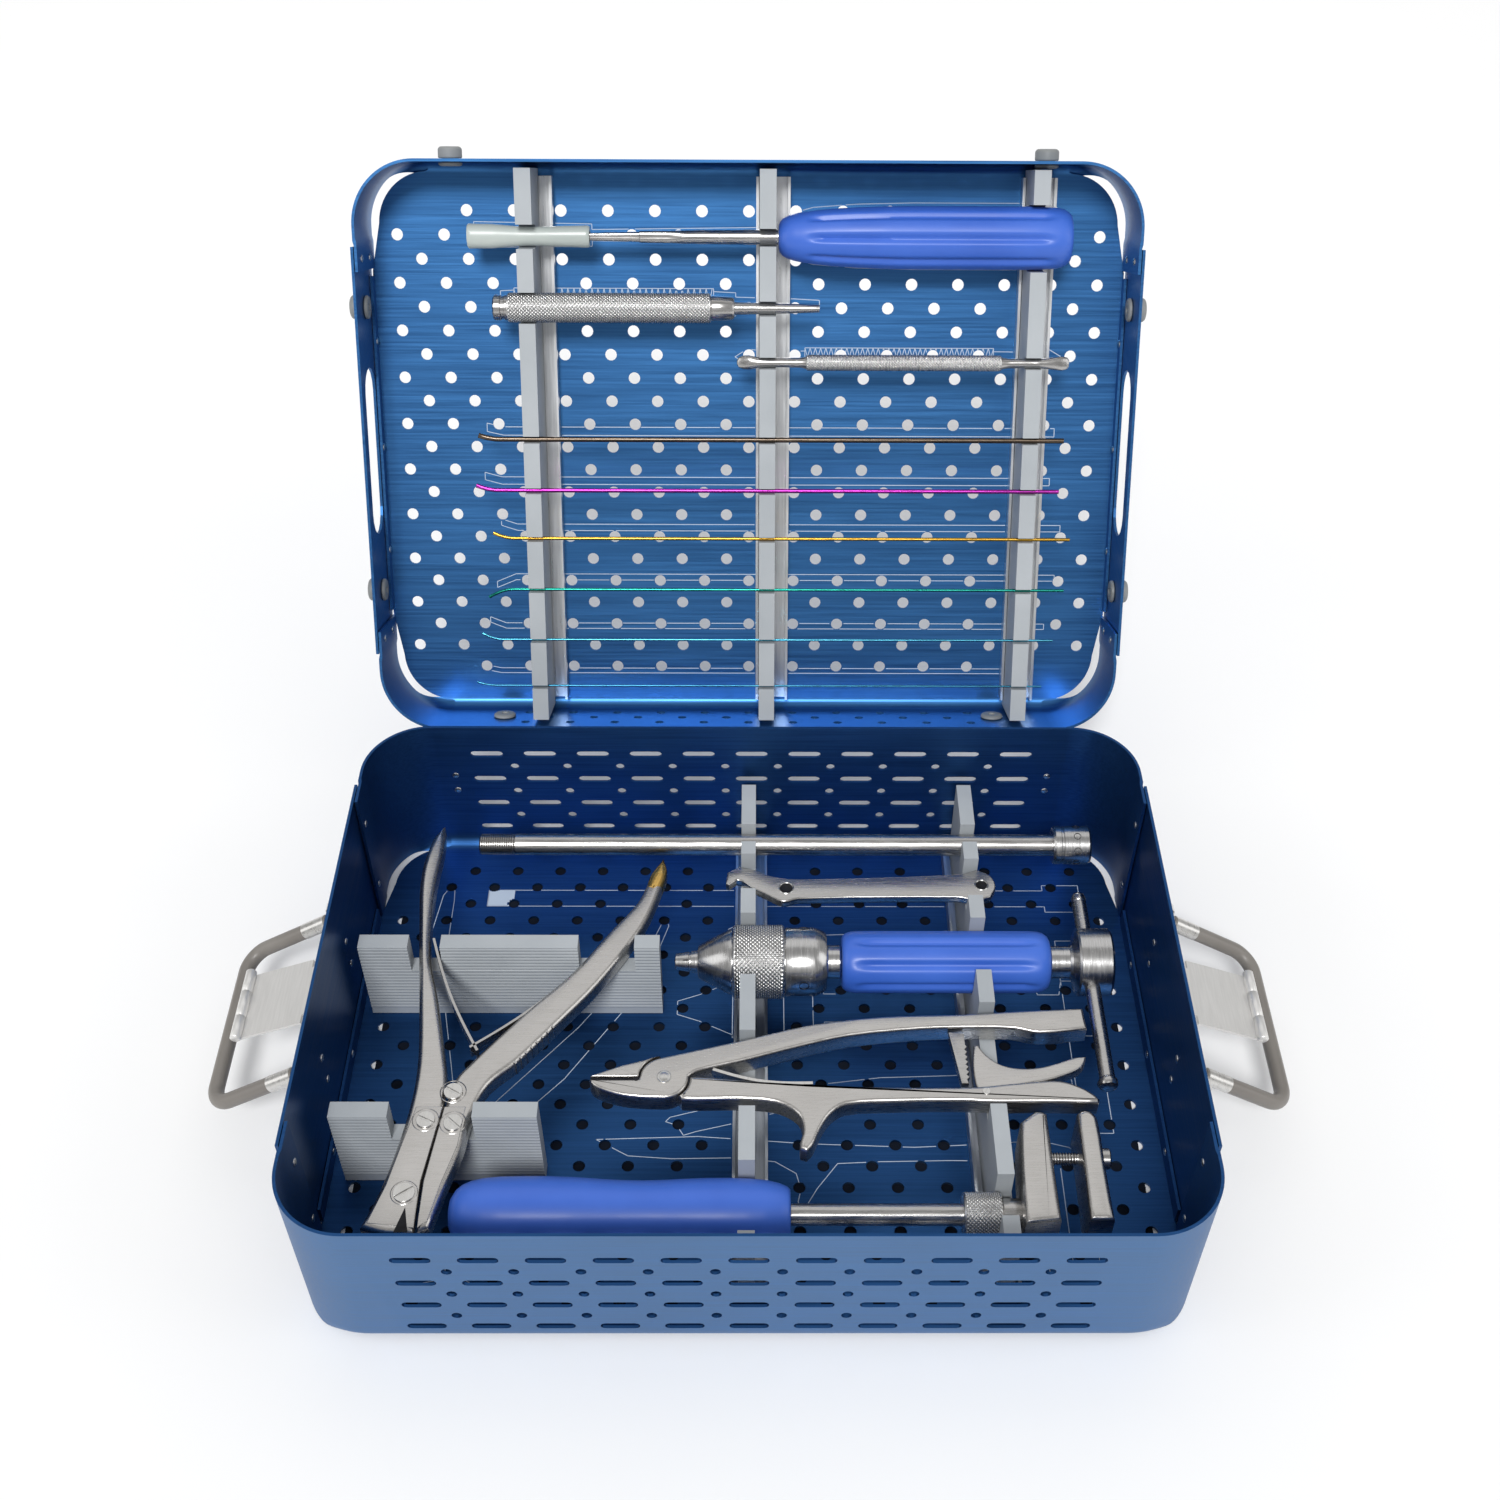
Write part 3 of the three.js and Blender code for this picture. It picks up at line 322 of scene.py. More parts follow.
def tube(points, r, n=20):
    """round rod through the points, closed ends"""
    P = [Vector(p) for p in points]
    tan = [(P[min(i + 1, len(P) - 1)] - P[max(i - 1, 0)]).normalized() for i in range(len(P))]
    ref = Vector((0, 0, 1)) if abs(tan[0].z) < 0.9 else Vector((1, 0, 0))
    u = (ref - tan[0] * ref.dot(tan[0])).normalized()
    V, F = [], []
    for i, p in enumerate(P):
        u = (u - tan[i] * u.dot(tan[i])).normalized()
        w = tan[i].cross(u)
        for k in range(n):
            a = 2 * pi * k / n
            V.append(tuple(p + (u * math.cos(a) + w * math.sin(a)) * r))
    for i in range(len(P) - 1):
        for k in range(n):
            j = (k + 1) % n
            F.append((i * n + k, i * n + j, (i + 1) * n + j, (i + 1) * n + k))
    F.append(tuple(range(n))[::-1])
    F.append(tuple(range((len(P) - 1) * n, len(P) * n)))
    return V, F


def knurl(pitch, depth, r0):
    around = max(6, round(2 * pi * r0 / pitch))

    def fn(s, t, r):
        a = (s / pitch + t * around / (2 * pi)) % 1.0
        b = (s / pitch - t * around / (2 * pi)) % 1.0
        return r - depth + depth * 2 * min(abs(2 * a - 1), abs(2 * b - 1)) * 0.75

    return fn, around * 6, pitch / 6


def smooth(pts, sub=4, corner_deg=46):
    n = len(pts)
    P = [Vector(p) for p in pts]
    sharp = []
    for i in range(n):
        a, b = P[i] - P[i - 1], P[(i + 1) % n] - P[i]
        sharp.append(a.length > 0 and b.length > 0 and a.angle(b) > math.radians(corner_deg))
    out = []
    for i in range(n):
        p0, p1, p2, p3 = P[i - 1], P[i], P[(i + 1) % n], P[(i + 2) % n]
        L = (p2 - p1).length
        m1 = (p2 - p1) if sharp[i] else (p2 - p0).normalized() * L
        m2 = (p2 - p1) if sharp[(i + 1) % n] else (p3 - p1).normalized() * L
        k = sub if L > 2.5 else 1
        for j in range(k):
            t = j / k
            h00, h10, h01, h11 = 2 * t**3 - 3 * t**2 + 1, t**3 - 2 * t**2 + t, -2 * t**3 + 3 * t**2, t**3 - t**2
            out.append(tuple(p1 * h00 + m1 * h10 + p2 * h01 + m2 * h11))
    return out


def slab(pts, z0, z1, R, steps=4, r_low=None):
    """rounded slab: outline drawn in near both faces, like a forged and polished bar"""
    area2 = sum(pts[i][0] * pts[(i + 1) % len(pts)][1] - pts[(i + 1) % len(pts)][0] * pts[i][1] for i in range(len(pts)))
    if area2 < 0:
        pts = pts[::-1]
    P = [Vector(p) for p in pts]
    n = len(P)
    nrm, room = [], []
    for i in range(n):
        a, b = (P[i] - P[i - 1]).normalized(), (P[(i + 1) % n] - P[i]).normalized()
        d = (a + b)
        d = d.normalized() if d.length > 1e-6 else b
        q = Vector((-d.y, d.x))
        nrm.append(q * min(1.35, 1 / max(0.4, math.sqrt(max(0.0, (1 + a.dot(b)) / 2)))))
        best = 60.0
        o = P[i] + q * 0.01
        for j in range(n):
            if j in (i, (i - 1) % n):
                continue
            c, e = P[j], P[(j + 1) % n] - P[j]
            den = q.x * e.y - q.y * e.x
            if abs(den) < 1e-9:
                continue
            w = c - o
            t = (w.x * e.y - w.y * e.x) / den
            u = (w.x * q.y - w.y * q.x) / den
            if t > 0 and -0.001 <= u <= 1.001:
                best = min(best, t)
        room.append(best)
    V, F = [], []
    rows = []
    lo = R if r_low is None else r_low
    for k in range(steps + 1):
        a = pi / 2 * k / steps
        rows.append((lo * (1 - math.sin(a)), z0 + lo * (1 - math.cos(a))))
    for k in range(steps + 1):
        a = pi / 2 * k / steps
        rows.append((R * (1 - math.cos(a)), z1 - R + R * math.sin(a)))
    for ins, z in rows:
        for i in range(n):
            q = P[i] + nrm[i] * min(ins, 0.40 * room[i])
            V.append((q.x, q.y, z))
    for k in range(len(rows) - 1):
        for i in range(n):
            j = (i + 1) % n
            F.append((k * n + i, k * n + j, (k + 1) * n + j, (k + 1) * n + i))
    F.append(tuple(range(n))[::-1])
    F.append(tuple(range((len(rows) - 1) * n, len(rows) * n)))
    return V, F


def sheet(outline, holes, half):
    """flat perforated sheet, mm, thickness 2*half about z = 0"""
    cu = bpy.data.curves.new("flat", "CURVE")
    cu.dimensions = "2D"
    cu.fill_mode = "BOTH"
    cu.extrude = half
    for pts in [outline] + holes:
        sp = cu.splines.new("POLY")
        sp.points.add(len(pts) - 1)
        for i, p in enumerate(pts):
            sp.points[i].co = (p[0], p[1], 0, 1)
        sp.use_cyclic_u = True
    ob = bpy.data.objects.new("flat", cu)
    bpy.context.scene.collection.objects.link(ob)
    me = bpy.data.meshes.new_from_object(ob.evaluated_get(bpy.context.evaluated_depsgraph_get()))
    bpy.data.objects.remove(ob)
    bpy.data.curves.remove(cu)
    bm = bmesh.new()
    bm.from_mesh(me)
    bmesh.ops.remove_doubles(bm, verts=bm.verts, dist=0.001)
    bpy.data.meshes.remove(me)
    return bm


def corner(xf, cy, sx, sy, h, rb):
    """wrapped corner strip: its foot runs into the fold of the long wall"""
    outer = arc(xf, cy, 35, 90, 0, 20) + [(HALF_W, 116), (HALF_W - 0.6, 113.6), (HALF_W - 0.6, 100)]
    inner = arc(xf, cy, 35 - T, 90, 0, 20) + [(HALF_W - T, 118), (HALF_W - 0.6 - T, 115), (HALF_W - 0.6 - T, 100)]
    n = len(outer)
    zs = [rb * (1 - math.cos(pi / 2 * i / 8)) for i in range(9)][1:] + [h]
    zs = [0.15] + zs
    V, F = [], []
    for z in zs:
        for line in (outer, inner):
            for i, (x, y) in enumerate(line):
                ang = 90 - 4.5 * i if i <= 20 else 0
                w = max(0.0, min(1.0, (ang - 45) / 45))
                w = w * w * (3 - 2 * w)
                off = w * (rb - math.sqrt(max(0.0, rb * rb - (rb - min(z, rb)) ** 2)))
                c, q = math.cos(math.radians(ang)), math.sin(math.radians(ang))
                V.append(((x - off * c) * sx, (y - off * q) * sy, z))
    m = 2 * n
    for k in range(len(zs) - 1):
        o = k * m
        for i in range(n - 1):
            F.append((o + i, o + i + 1, o + m + i + 1, o + m + i))
            F.append((o + n + i, o + m + n + i, o + m + n + i + 1, o + n + i + 1))
        for i in (0, n - 1):
            F.append((o + i, o + m + i, o + m + n + i, o + n + i))
    for o in (0, (len(zs) - 1) * m):
        for i in range(n - 1):
            F.append((o + i, o + n + i, o + n + i + 1, o + i + 1))
    return V, F


def pan_shell(h, rb, floor_holes, wall_holes, flange):
    """U-bent sheet with wrapped corners; floor down at z = 0. wall_holes[side] are flat outlines in (x, z)"""
    xf = HALF_W - 35.0
    y0 = HALF_D - rb
    rn = rb - T / 2
    s1 = y0 + rn * pi / 2
    s2 = s1 + h - rb
    cy = HALF_D - 35.0
    right = [(xf, s2), (xf, 153.2)] + arc(xf, cy, 28.9, 86, 2, 14) + [(HALF_W - 1.0, 98.5), (HALF_W - 1.0, 0)]
    poly = right + [(x, -s) for x, s in right[::-1][1:]] + [(-x, -s) for x, s in right] + [(-x, s) for x, s in right[::-1][1:]]
    holes = list(floor_holes)
    for side, hs in ((-1, wall_holes[0]), (1, wall_holes[1])):
        for ho in hs:
            holes.append([(x, side * (s1 + (z - rb))) for x, z in ho])
    bm = sheet(poly, holes, T / 2)
    for sg in (-1, 1):
        for k in range(0, 7):
            s = sg * (y0 + (s1 - y0) * k / 6)
            bmesh.ops.bisect_plane(bm, geom=bm.verts[:] + bm.edges[:] + bm.faces[:], dist=0.0005, plane_co=(0, s, 0), plane_no=(0, 1, 0))
    for v in bm.verts:
        x, s, t = v.co
        a = abs(s)
        sg = 1 if s > 0 else -1
        if a <= y0:
            y, z = a, T / 2 + t
        elif a <= s1:
            ph = (a - y0) / rn
            y, z = y0 + (rn - t) * math.sin(ph), rb - (rn - t) * math.cos(ph)
        else:
            y, z = HALF_D - T / 2 - t, rb + (a - s1)
        v.co = (x, sg * y, z)
    V = [tuple(v.co) for v in bm.verts]
    bm.verts.index_update()
    F = [tuple(v.index for v in f.verts) for f in bm.faces]
    bm.free()
    parts = [(V, F)]
    for sx in (-1, 1):
        for sy in (-1, 1):
            parts.append(corner(xf, cy, sx, sy, h, rb))
        fl = [(HALF_W - 0.4, 0.0), (HALF_W - 0.4 - T, 0.0), (HALF_W - 0.4 - T, flange), (HALF_W - 0.4, flange)]
        n = len(fl)
        V = [(x * sx, -95.9, z) for x, z in fl] + [(x * sx, 95.9, z) for x, z in fl]
        F = [tuple(range(n)), tuple(range(n, 2 * n))] + [(i, (i + 1) % n, n + (i + 1) % n, n + i) for i in range(n)]
        parts.append((V, F))
    return join(parts)


# ------------------------------------------------------------------ camera, light, floor
def make_camera():
    el, yaw, roll = math.radians(45.05), math.radians(0.6), math.radians(-0.54)
    fwd = Vector((math.sin(yaw) * math.cos(el), math.cos(yaw) * math.cos(el), -math.sin(el)))
    right = Vector((math.cos(yaw), -math.sin(yaw), 0))
    down = fwd.cross(right)
    r2 = right * math.cos(roll) + down * math.sin(roll)
    d2 = right * -math.sin(roll) + down * math.cos(roll)
    cam = bpy.data.cameras.new("camera")
    cam.sensor_width = 36.0
    cam.lens = 1795.09 * 36 / 1500
    cam.shift_x = -(770.374 - 750) / 1500
    cam.clip_end = 50
    ob = bpy.data.objects.new("camera", cam)
    bpy.context.scene.collection.objects.link(ob)
    M = Matrix.Identity(4)
    for i in range(3):
        M[i][0], M[i][1], M[i][2] = r2[i], -d2[i], -fwd[i]
    M[0][3], M[1][3], M[2][3] = 0.002137 + 0.001, -0.55996, 0.797313
    ob.matrix_world = M
    bpy.context.scene.camera = ob


make_camera()


def area(name, loc, target, size, power, col=(1, 1, 1)):
    l = bpy.data.lights.new(name, "AREA")
    l.shape = "RECTANGLE"
    l.size, l.size_y = size
    l.energy = power
    l.color = col
    o = bpy.data.objects.new(name, l)
    o.location = loc
    o.rotation_euler = (Vector(target) - Vector(loc)).to_track_quat("-Z", "Y").to_euler()
    bpy.context.scene.collection.objects.link(o)
    return o


area("softbox_back", (0.0, 1.2, 1.75), (0, 0.05, 0), (2.8, 1.6), 7)
area("fill_left", (-1.6, -0.3, 0.9), (0, 0, 0.1), (0.9, 1.2), 4.0)
area("fill_right", (1.6, -0.3, 0.9), (0, 0, 0.1), (0.9, 1.2), 4.0)
sun = bpy.data.lights.new("key", "SUN")
sun.energy = 2.0
sun.angle = math.radians(16)
sun_ob = bpy.data.objects.new("key", sun)
sun_ob.rotation_euler = (Vector((0.09, 0.68, -0.82))).to_track_quat("-Z", "Y").to_euler()
bpy.context.scene.collection.objects.link(sun_ob)
world = bpy.data.worlds.new("studio")
world.use_nodes = True
world.node_tree.nodes["Background"].inputs["Color"].default_value = (1, 1, 1, 1)
world.node_tree.nodes["Background"].inputs["Strength"].default_value = 0.42
bpy.context.scene.world = world
bpy.context.scene.view_settings.view_transform = "Standard"

fm, fnt, fp = tree("pale_floor")
fnt.links.new(ramp(fnt, noise(fnt, (3, 3, 3)), (0.93, 0.93, 0.93), (0.95, 0.95, 0.95)), fp.inputs["Base Color"])
fp.inputs["Roughness"].default_value = 0.9
fp.inputs["Specular IOR Level"].default_value = 0.0
fme = bpy.data.meshes.new("floor")
fme.from_pydata([(-8, -8, -0.0003), (8, -8, -0.0003), (8, 8, -0.0003), (-8, 8, -0.0003)], [], [(0, 1, 2, 3)])
fme.materials.append(fm)
floor = bpy.data.objects.new("floor", fme)
bpy.context.scene.collection.objects.link(floor)

# painted shade: a dark sheet under the floor plate stands for the unlit gap beneath it, seen through its holes
um, unt, up_ = tree("unlit_underside")
unt.links.new(ramp(unt, noise(unt, (30, 30, 30)), (0.006, 0.008, 0.014), (0.014, 0.018, 0.028)), up_.inputs["Base Color"])
up_.inputs["Roughness"].default_value = 0.95
up_.inputs["Specular IOR Level"].default_value = 0.0
ume = bpy.data.meshes.new("shade_underlay")
ume.from_pydata([(-0.200, -0.140, -0.0001), (0.200, -0.140, -0.0001), (0.200, 0.140, -0.0001), (-0.200, 0.140, -0.0001)], [], [(0, 1, 2, 3)])
ume.materials.append(um)
painted_shade_sheet = bpy.data.objects.new("shade_underlay", ume)
bpy.context.scene.collection.objects.link(painted_shade_sheet)

# ------------------------------------------------------------------ perforated shells
FLOOR_HOLES = []
for kk in range(-3, 20):
    y = 96.5 - 12.40 * kk
    if abs(y) > 140:
        continue
    xs = [24.87 * k for k in range(-8, 9)] if kk % 2 == 0 else [s * (12.4 + 24.87 * k) for k in range(8) for s in (-1, 1)]
    for x in xs:
        if abs(x - 0) < 13 or abs(x - 121) < 13 or (abs(x) > 190 and abs(y) > 118):
            continue
        FLOOR_HOLES.append((x, y, 3.2))
LID_HOLES = []
for m in range(-10, 11):
    y = 13.15 * m
    xs = [26.3 * k for k in range(-7, 8)] if m % 2 == 0 else [s * (13.15 + 26.3 * k) for k in range(8) for s in (-1, 1)]
    for x in xs:
        if min(abs(x + 118.4), abs(x - 13.6), abs(x - 161.1)) < 5 or (abs(x) > 184 and abs(y) > 125):
            continue
        LID_HOLES.append((x, y, 3.35))

wall = [obround(30 * k, z, 18.5, 4.7) for k in range(-5, 6) for z in (75.2, 55.1, 35.0, 15.0)]
wall += [circle(s * (15 + 30 * k), z, 2.5, 12) for k in range(5) for s in (-1, 1) for z in (65.2, 45.1, 25.0)]
V, F = pan_shell(96.0, 10.0, [circle(x, y, r, 14) for x, y, r in FLOOR_HOLES], (wall, wall), 12.0)
piece("base_shell", V, F, "base", BASE_BLUE, ["base_pan"], "base_shell", sharp=30)

small = []
for i, z in enumerate((33.8, 23.8, 13.8)):
    off = 13.15 if i == 1 else 0.0
    x = -131.5 + off
    while x < 133:
        small.append(circle(x, z, 2.6, 12))
        x += 26.3
lw = {-1: small + [circle(s * 145, 22.75, 4.8, 14) for s in (-1, 1)], 1: small + [circle(s * 162, 22.75, 4.8, 14) for s in (-1, 1)]}
V, F = pan_shell(45.5, 8.0, [circle(x, -y, r, 14) for x, y, r in LID_HOLES], (lw[-1], lw[1]), 8.0)
FLIP = Matrix.Translation(Vector((0, 0, LID_TOP))) @ Matrix.Rotation(pi, 4, "X")
piece("lid_shell", V, F, "lid", LID_BLUE, ["lid_pan"], "lid_shell", matrix=LID @ FLIP, sharp=30)


# ------------------------------------------------------------------ etched outlines
def ribbon(lines, z, w, blocked, up=1):
    V, F = [], []
    for pts in lines:
        run = []
        for a, b in zip(pts[:-1], pts[1:]):
            a, b = Vector(a), Vector(b)
            k = max(1, int((b - a).length / 1.2))
            d = (b - a).normalized() if (b - a).length > 1e-6 else Vector((1, 0))
            nrm = Vector((-d.y, d.x)) * w / 2
            for j in range(k):
                p, q = a.lerp(b, j / k), a.lerp(b, (j + 1) / k)
                if blocked((p + q) / 2):
                    continue
                o = len(V)
                V += [(p.x + nrm.x, p.y + nrm.y, z), (p.x - nrm.x, p.y - nrm.y, z), (q.x - nrm.x, q.y - nrm.y, z), (q.x + nrm.x, q.y + nrm.y, z)]
                F.append((o, o + 1, o + 2, o + 3) if up > 0 else (o + 3, o + 2, o + 1, o))
    return V, F


def loop(pts):
    return pts + [pts[0]]


def hatch(x0, x1, y0, y1, step):
    out = []
    k = int((x1 - x0) / step)
    for i in range(k):
        xa = x0 + i * step
        out += [[(xa, y0), (min(xa + step, x1), y1)], [(xa, y1), (min(xa + step, x1), y0)]]
    return out


def rect(x0, x1, y0, y1):
    return loop([(x0, y0), (x1, y0), (x1, y1), (x0, y1)])


def blocker(holes, extra=0.35):
    grid = {}
    for x, y, r in holes:
        grid.setdefault((round(x / 14), round(y / 14)), []).append((x, y, r))

    def f(p):
        gx, gy = round(p.x / 14), round(p.y / 14)
        for i in (-1, 0, 1):
            for j in (-1, 0, 1):
                for x, y, r in grid.get((gx + i, gy + j), ()):
                    if (p.x - x) ** 2 + (p.y - y) ** 2 < (r + extra) ** 2:
                        return True
        return False

    return f


NAILS = [("nail_30", 3.0, (-151.4, -11.2), (-142, -9.1), 177.1, GUN), ("nail_25", 2.5, (-153.8, 17.0), (-144, 19.6), 175.8, MAG),
         ("nail_20", 2.0, (-145.4, 44.1), (-136, 47.1), 183.5, GOLD), ("nail_18", 1.8, (-149.3, 81.5), (-138, 76.8), 181.6, GREEN),
         ("nail_15", 1.5, (-154.3, 102.8), (-145, 106.5), 176.8, TEAL), ("nail_12", 1.2, (-158.5, 132.2), (-149, 134.2), 171.7, DTEAL)]
lines = []
for name, d, tip, knee, xr, mt in NAILS:
    g = d / 2 + 0.9
    lines.append(loop([(tip[0], tip[1] - g), (knee[0], knee[1] - g), (xr, knee[1] - g), (xr, knee[1] + g), (knee[0], knee[1] + g), (tip[0], tip[1] + g)]))
A = -118.4
awl = [(16, 6), (18, 9.5), (24, 12.2), (36, 15.4), (60, 17.2), (92, 18), (150, 18), (164, 17.6), (172, 16), (177, 12)]
lines.append(loop([(x, A + r) for x, r in awl] + [(x, A - r) for x, r in awl[::-1]]))
lines += [[(16, A + 4.6), (-88, A + 3), (-88, A + 6), (-154, A + 7), (-154, A - 7), (-88, A - 6), (-88, A - 3), (16, A - 4.6)], loop(circle(169, A, 11, 24)), loop(circle(169, A, 5, 18))]
P = -80.9
lines += [rect(-133, -20, P - 8.6, P + 8.6), [(-133, P + 7.4), (-140.6, P + 7), (-140.6, P - 7), (-133, P - 7.4)], [(-20, P + 7), (-7.5, P + 6.4), (-7.5, P + 4), (25, P + 3.2), (40, P + 2.4), (40, P - 2.4), (25, P - 3.2), (-7.5, P - 4), (-7.5, P - 6.4), (-20, P - 7)]]
lines += hatch(-133, -20, P - 8.6, P + 8.6, 3.4)
E = -51.7
lines += [rect(32, 140, E - 5.2, E + 5.2), [(32, E + 3.4), (10, E + 3.2), (-1, E + 4.4), (-8, E), (-1, E - 4.4), (10, E - 3.2), (32, E - 3.4)], [(140, E + 3.4), (160, E + 3.2), (172, E + 4.6), (180, E), (172, E - 4.6), (160, E - 3.2), (140, E - 3.4)]]
lines += hatch(32, 140, E - 5.2, E + 5.2, 3.0)
lb = blocker(LID_HOLES)
V, F = ribbon(lines, PANEL_Z - 0.06, 0.42, lambda p: lb(p) or min(abs(p.x + 118.4), abs(p.x - 13.6), abs(p.x - 161.1)) < 9.8, -1)
piece("lid_etching", V, F, "lid", ETCH, (), "lid_shell", matrix=LID)

body = [(-13.8, 82), (-13.0, 90), (-6, 94.3), (2, 92), (10, 87.6), (25.8, 85.2), (114.2, 89), (124, 92.2), (131.5, 88), (133.7, 80), (130, 72.5), (121.5, 70.6), (112, 72.6), (25.6, 71.4), (17.5, 69.2), (9.3, 73.6), (0, 79.5), (-4.3, 83.5), (-8, 84.6), (-12, 80.8)]
pl_up = [(-34.5, -46.5), (-38, -40.5), (-44, -38.2), (-41.7, -35.6), (-34, -33.4), (-5.2, -25.8), (31.4, -15.9), (68.8, -10.9), (106.2, -9.6), (169.7, -5.7), (170.4, -18.3), (146, -20.8), (133.1, -18), (86.7, -18.4), (50, -22.7), (24, -29.5), (-5.1, -38.4), (-28, -44.2)]
pl_lo = [(-79.3, -49), (-62.5, -58.7), (-40, -60.4), (-4.9, -59.8), (12.8, -62.2), (23.4, -69), (25.7, -78.1), (24.1, -85.4), (27, -89.8), (34, -77.5), (44.6, -63.2), (66.3, -62.1), (102.3, -61.4), (156.1, -62.2), (171, -62.4), (171.2, -60.3), (163.7, -53.6), (148, -49.4), (127, -51.4), (84.5, -53.6), (30.6, -51.6), (-27, -47.2)]
cut_l = [(-172.5, 125), (-178.1, 115.1), (-181.2, 89.2), (-177.7, 53.8), (-171.5, 7.2), (-166.8, -30.4), (-165.6, -46.6), (-174.5, -108), (-181, -127.6), (-165, -131), (-149, -127.6), (-138.2, -83.9), (-136.2, -64.7), (-129.7, -46.6), (-98.5, -11.8), (-60.3, 47.1), (-47, 92.4), (-48.9, 100.2), (-58.4, 73.5), (-93, 22), (-131.8, -24.5), (-146, -42), (-153.6, -30.4), (-171.3, 53.8), (-171.4, 111.4)]
fl = [[(-152, 119), (169, 119), (169, 123), (190, 123), (190, 103), (169, 103), (169, 107), (-152, 107), (-152, 119)]]
fl += [[(-152, 107.2 + i * 0.42), (-137, 107.2 + i * 0.42)] for i in range(28)]
fl += [loop([(x, y) for x, y in q]) for q in (body, pl_up, pl_lo, cut_l)]
Y = 34.8
ins = [(-40.2, 4.5), (-28, 9), (-10.1, 18), (-9.6, 20), (18, 20), (34, 19), (40.1, 16), (40.1, 9.5), (48, 9.5), (48.2, 14), (56, 17.4), (148, 17.4), (158, 13), (158, 9), (170, 9), (172, 18.6), (191, 18.6)]
fl += [loop([(x, Y + r) for x, r in ins] + [(x, Y - r) for x, r in ins[::-1]]), [(-10, Y + 20), (-10, Y - 20)], [(18, Y + 20), (18, Y - 20)], [(34, Y + 19), (34, Y - 19)], rect(172, 188, Y - 80, Y + 47)]
C = -115
cl = [(-142, 6), (-139, 12), (-132, 16.4), (-118, 18.4), (-95, 18.6), (-72, 17.4), (-50, 16.6), (-30, 17.4), (-10, 17.8), (8, 16.8), (19, 13.4), (19, 6), (101, 6), (101, 11), (119, 11)]
fl += [loop([(x, C + r) for x, r in cl] + [(x, C - r) for x, r in cl[::-1]]), rect(127, 146, -128, -67), rect(158, 171, -127, -66)]
fb = blocker(FLOOR_HOLES)
V, F = ribbon(fl, T + 0.06, 0.42, lambda p: fb(p) or abs(p.x) < 9.6 or abs(p.x - 121) < 9.6 or abs(p.y) > 147)
piece("floor_etching", V, F, "base", ETCH, (), "base_shell")

# ------------------------------------------------------------------ turned pieces in the lid
def lidpart(name, vf, body, material, stands=(), slot=None, **kw):
    return piece(name, vf[0], vf[1], body, material, stands, slot, matrix=LID, **kw)


AWL_Z, THIN_Z, NAIL_Z = 114.3, 107.3, 106.3


def flutes(x0, x1, n, depth, ease=10.0, width=2.0):
    def fn(s, t, r):
        w = max(0.0, min(1.0, (s - x0) / ease)) * max(0.0, min(1.0, (x1 - s) / ease))
        w = w * w * (3 - 2 * w)
        c = max(0.0, math.cos(n * t)) ** width
        return r - depth * w * c
    return fn


awl_prof = [(16.4, 0), (16.4, 6), (17, 8), (18.5, 9.8), (21, 11.2), (24, 12.2), (30, 13.5), (36, 14.4), (46, 15.4), (60, 16.2), (76, 16.8), (92, 17), (150, 17), (158, 16.9), (164, 16.6), (169, 16.1), (172, 15.4), (174.5, 14), (176, 12.5), (176.5, 10), (176.5, 0)]
lidpart("awl_grip", turned(awl_prof, 96, (0, A, AWL_Z), fn=flutes(30, 168, 8, 2.0), dx=3), "awl", GRIP, ["awl_handle"], "blue_grip", sharp=50)
lidpart("awl_blade", turned([(-145, 0), (-140, 1.2), (-87, 2.3), (-60, 2.9), (-59.5, 3.4), (10, 4.1), (16.1, 4.1), (16.1, 0)], 32, (0, A, AWL_Z), fn=lambda s, t, r: r * (1 - 0.10 * math.cos(4 * t)) if s < -40 else r, dx=4), "awl", STEEL, ["awl_shaft"], "lid_tool_steel")
guard = [(-153.6, 3.3), (-153.6, 5.6), (-153.0, 6.0), (-140, 5.9), (-126, 4.7), (-118, 4.5), (-108, 4.9), (-92, 5.3), (-88, 5.4), (-87, 4.9), (-87, 3.5), (-153.6, 3.3)]
lidpart("tip_sleeve", turned(guard, 32, (0, A, AWL_Z), fn=lambda s, t, r: r if r < 3.7 else r * (1 + 0.10 * math.cos(2 * t)), dx=2), "awl", SLEEVE, ["awl_tip_guard"], "tip_guard")
fn, n, dx = knurl(2.0, 0.62, 7.9)
kn = turned([(-132.2, 0), (-132.2, 7.4), (-131.6, 7.9), (-21.4, 7.9), (-20.9, 7.4), (-20.9, 0)], n, (0, P, THIN_Z), fn=lambda s, t, r: fn(s, t, r) if -131.7 < s < -21.3 else r, dx=dx)
lidpart("punch_knurl", kn, "punch", KNURLED, (), "lid_tool_steel", sharp=80)
pb = join([turned([(-140.1, 0), (-140.1, 6.2), (-139.4, 6.9), (-136.2, 6.9), (-135.8, 6.3), (-134.2, 6.3), (-133.8, 6.9), (-132.3, 6.9), (-132.3, 0)], 40, (0, P, THIN_Z)),
           turned([(-20.8, 0), (-20.8, 6.6), (-19.8, 6.9), (-9.2, 6.2), (-8, 5.4), (-7.7, 3.6), (-2, 3.3), (25, 2.6), (39, 2), (39, 0)], 40, (0, P, THIN_Z))])
lidpart("punch_body", pb, "punch", STEEL, ["nail_punch"], "lid_tool_steel")
fn2, n2, dx2 = knurl(1.6, 0.46, 4.3)
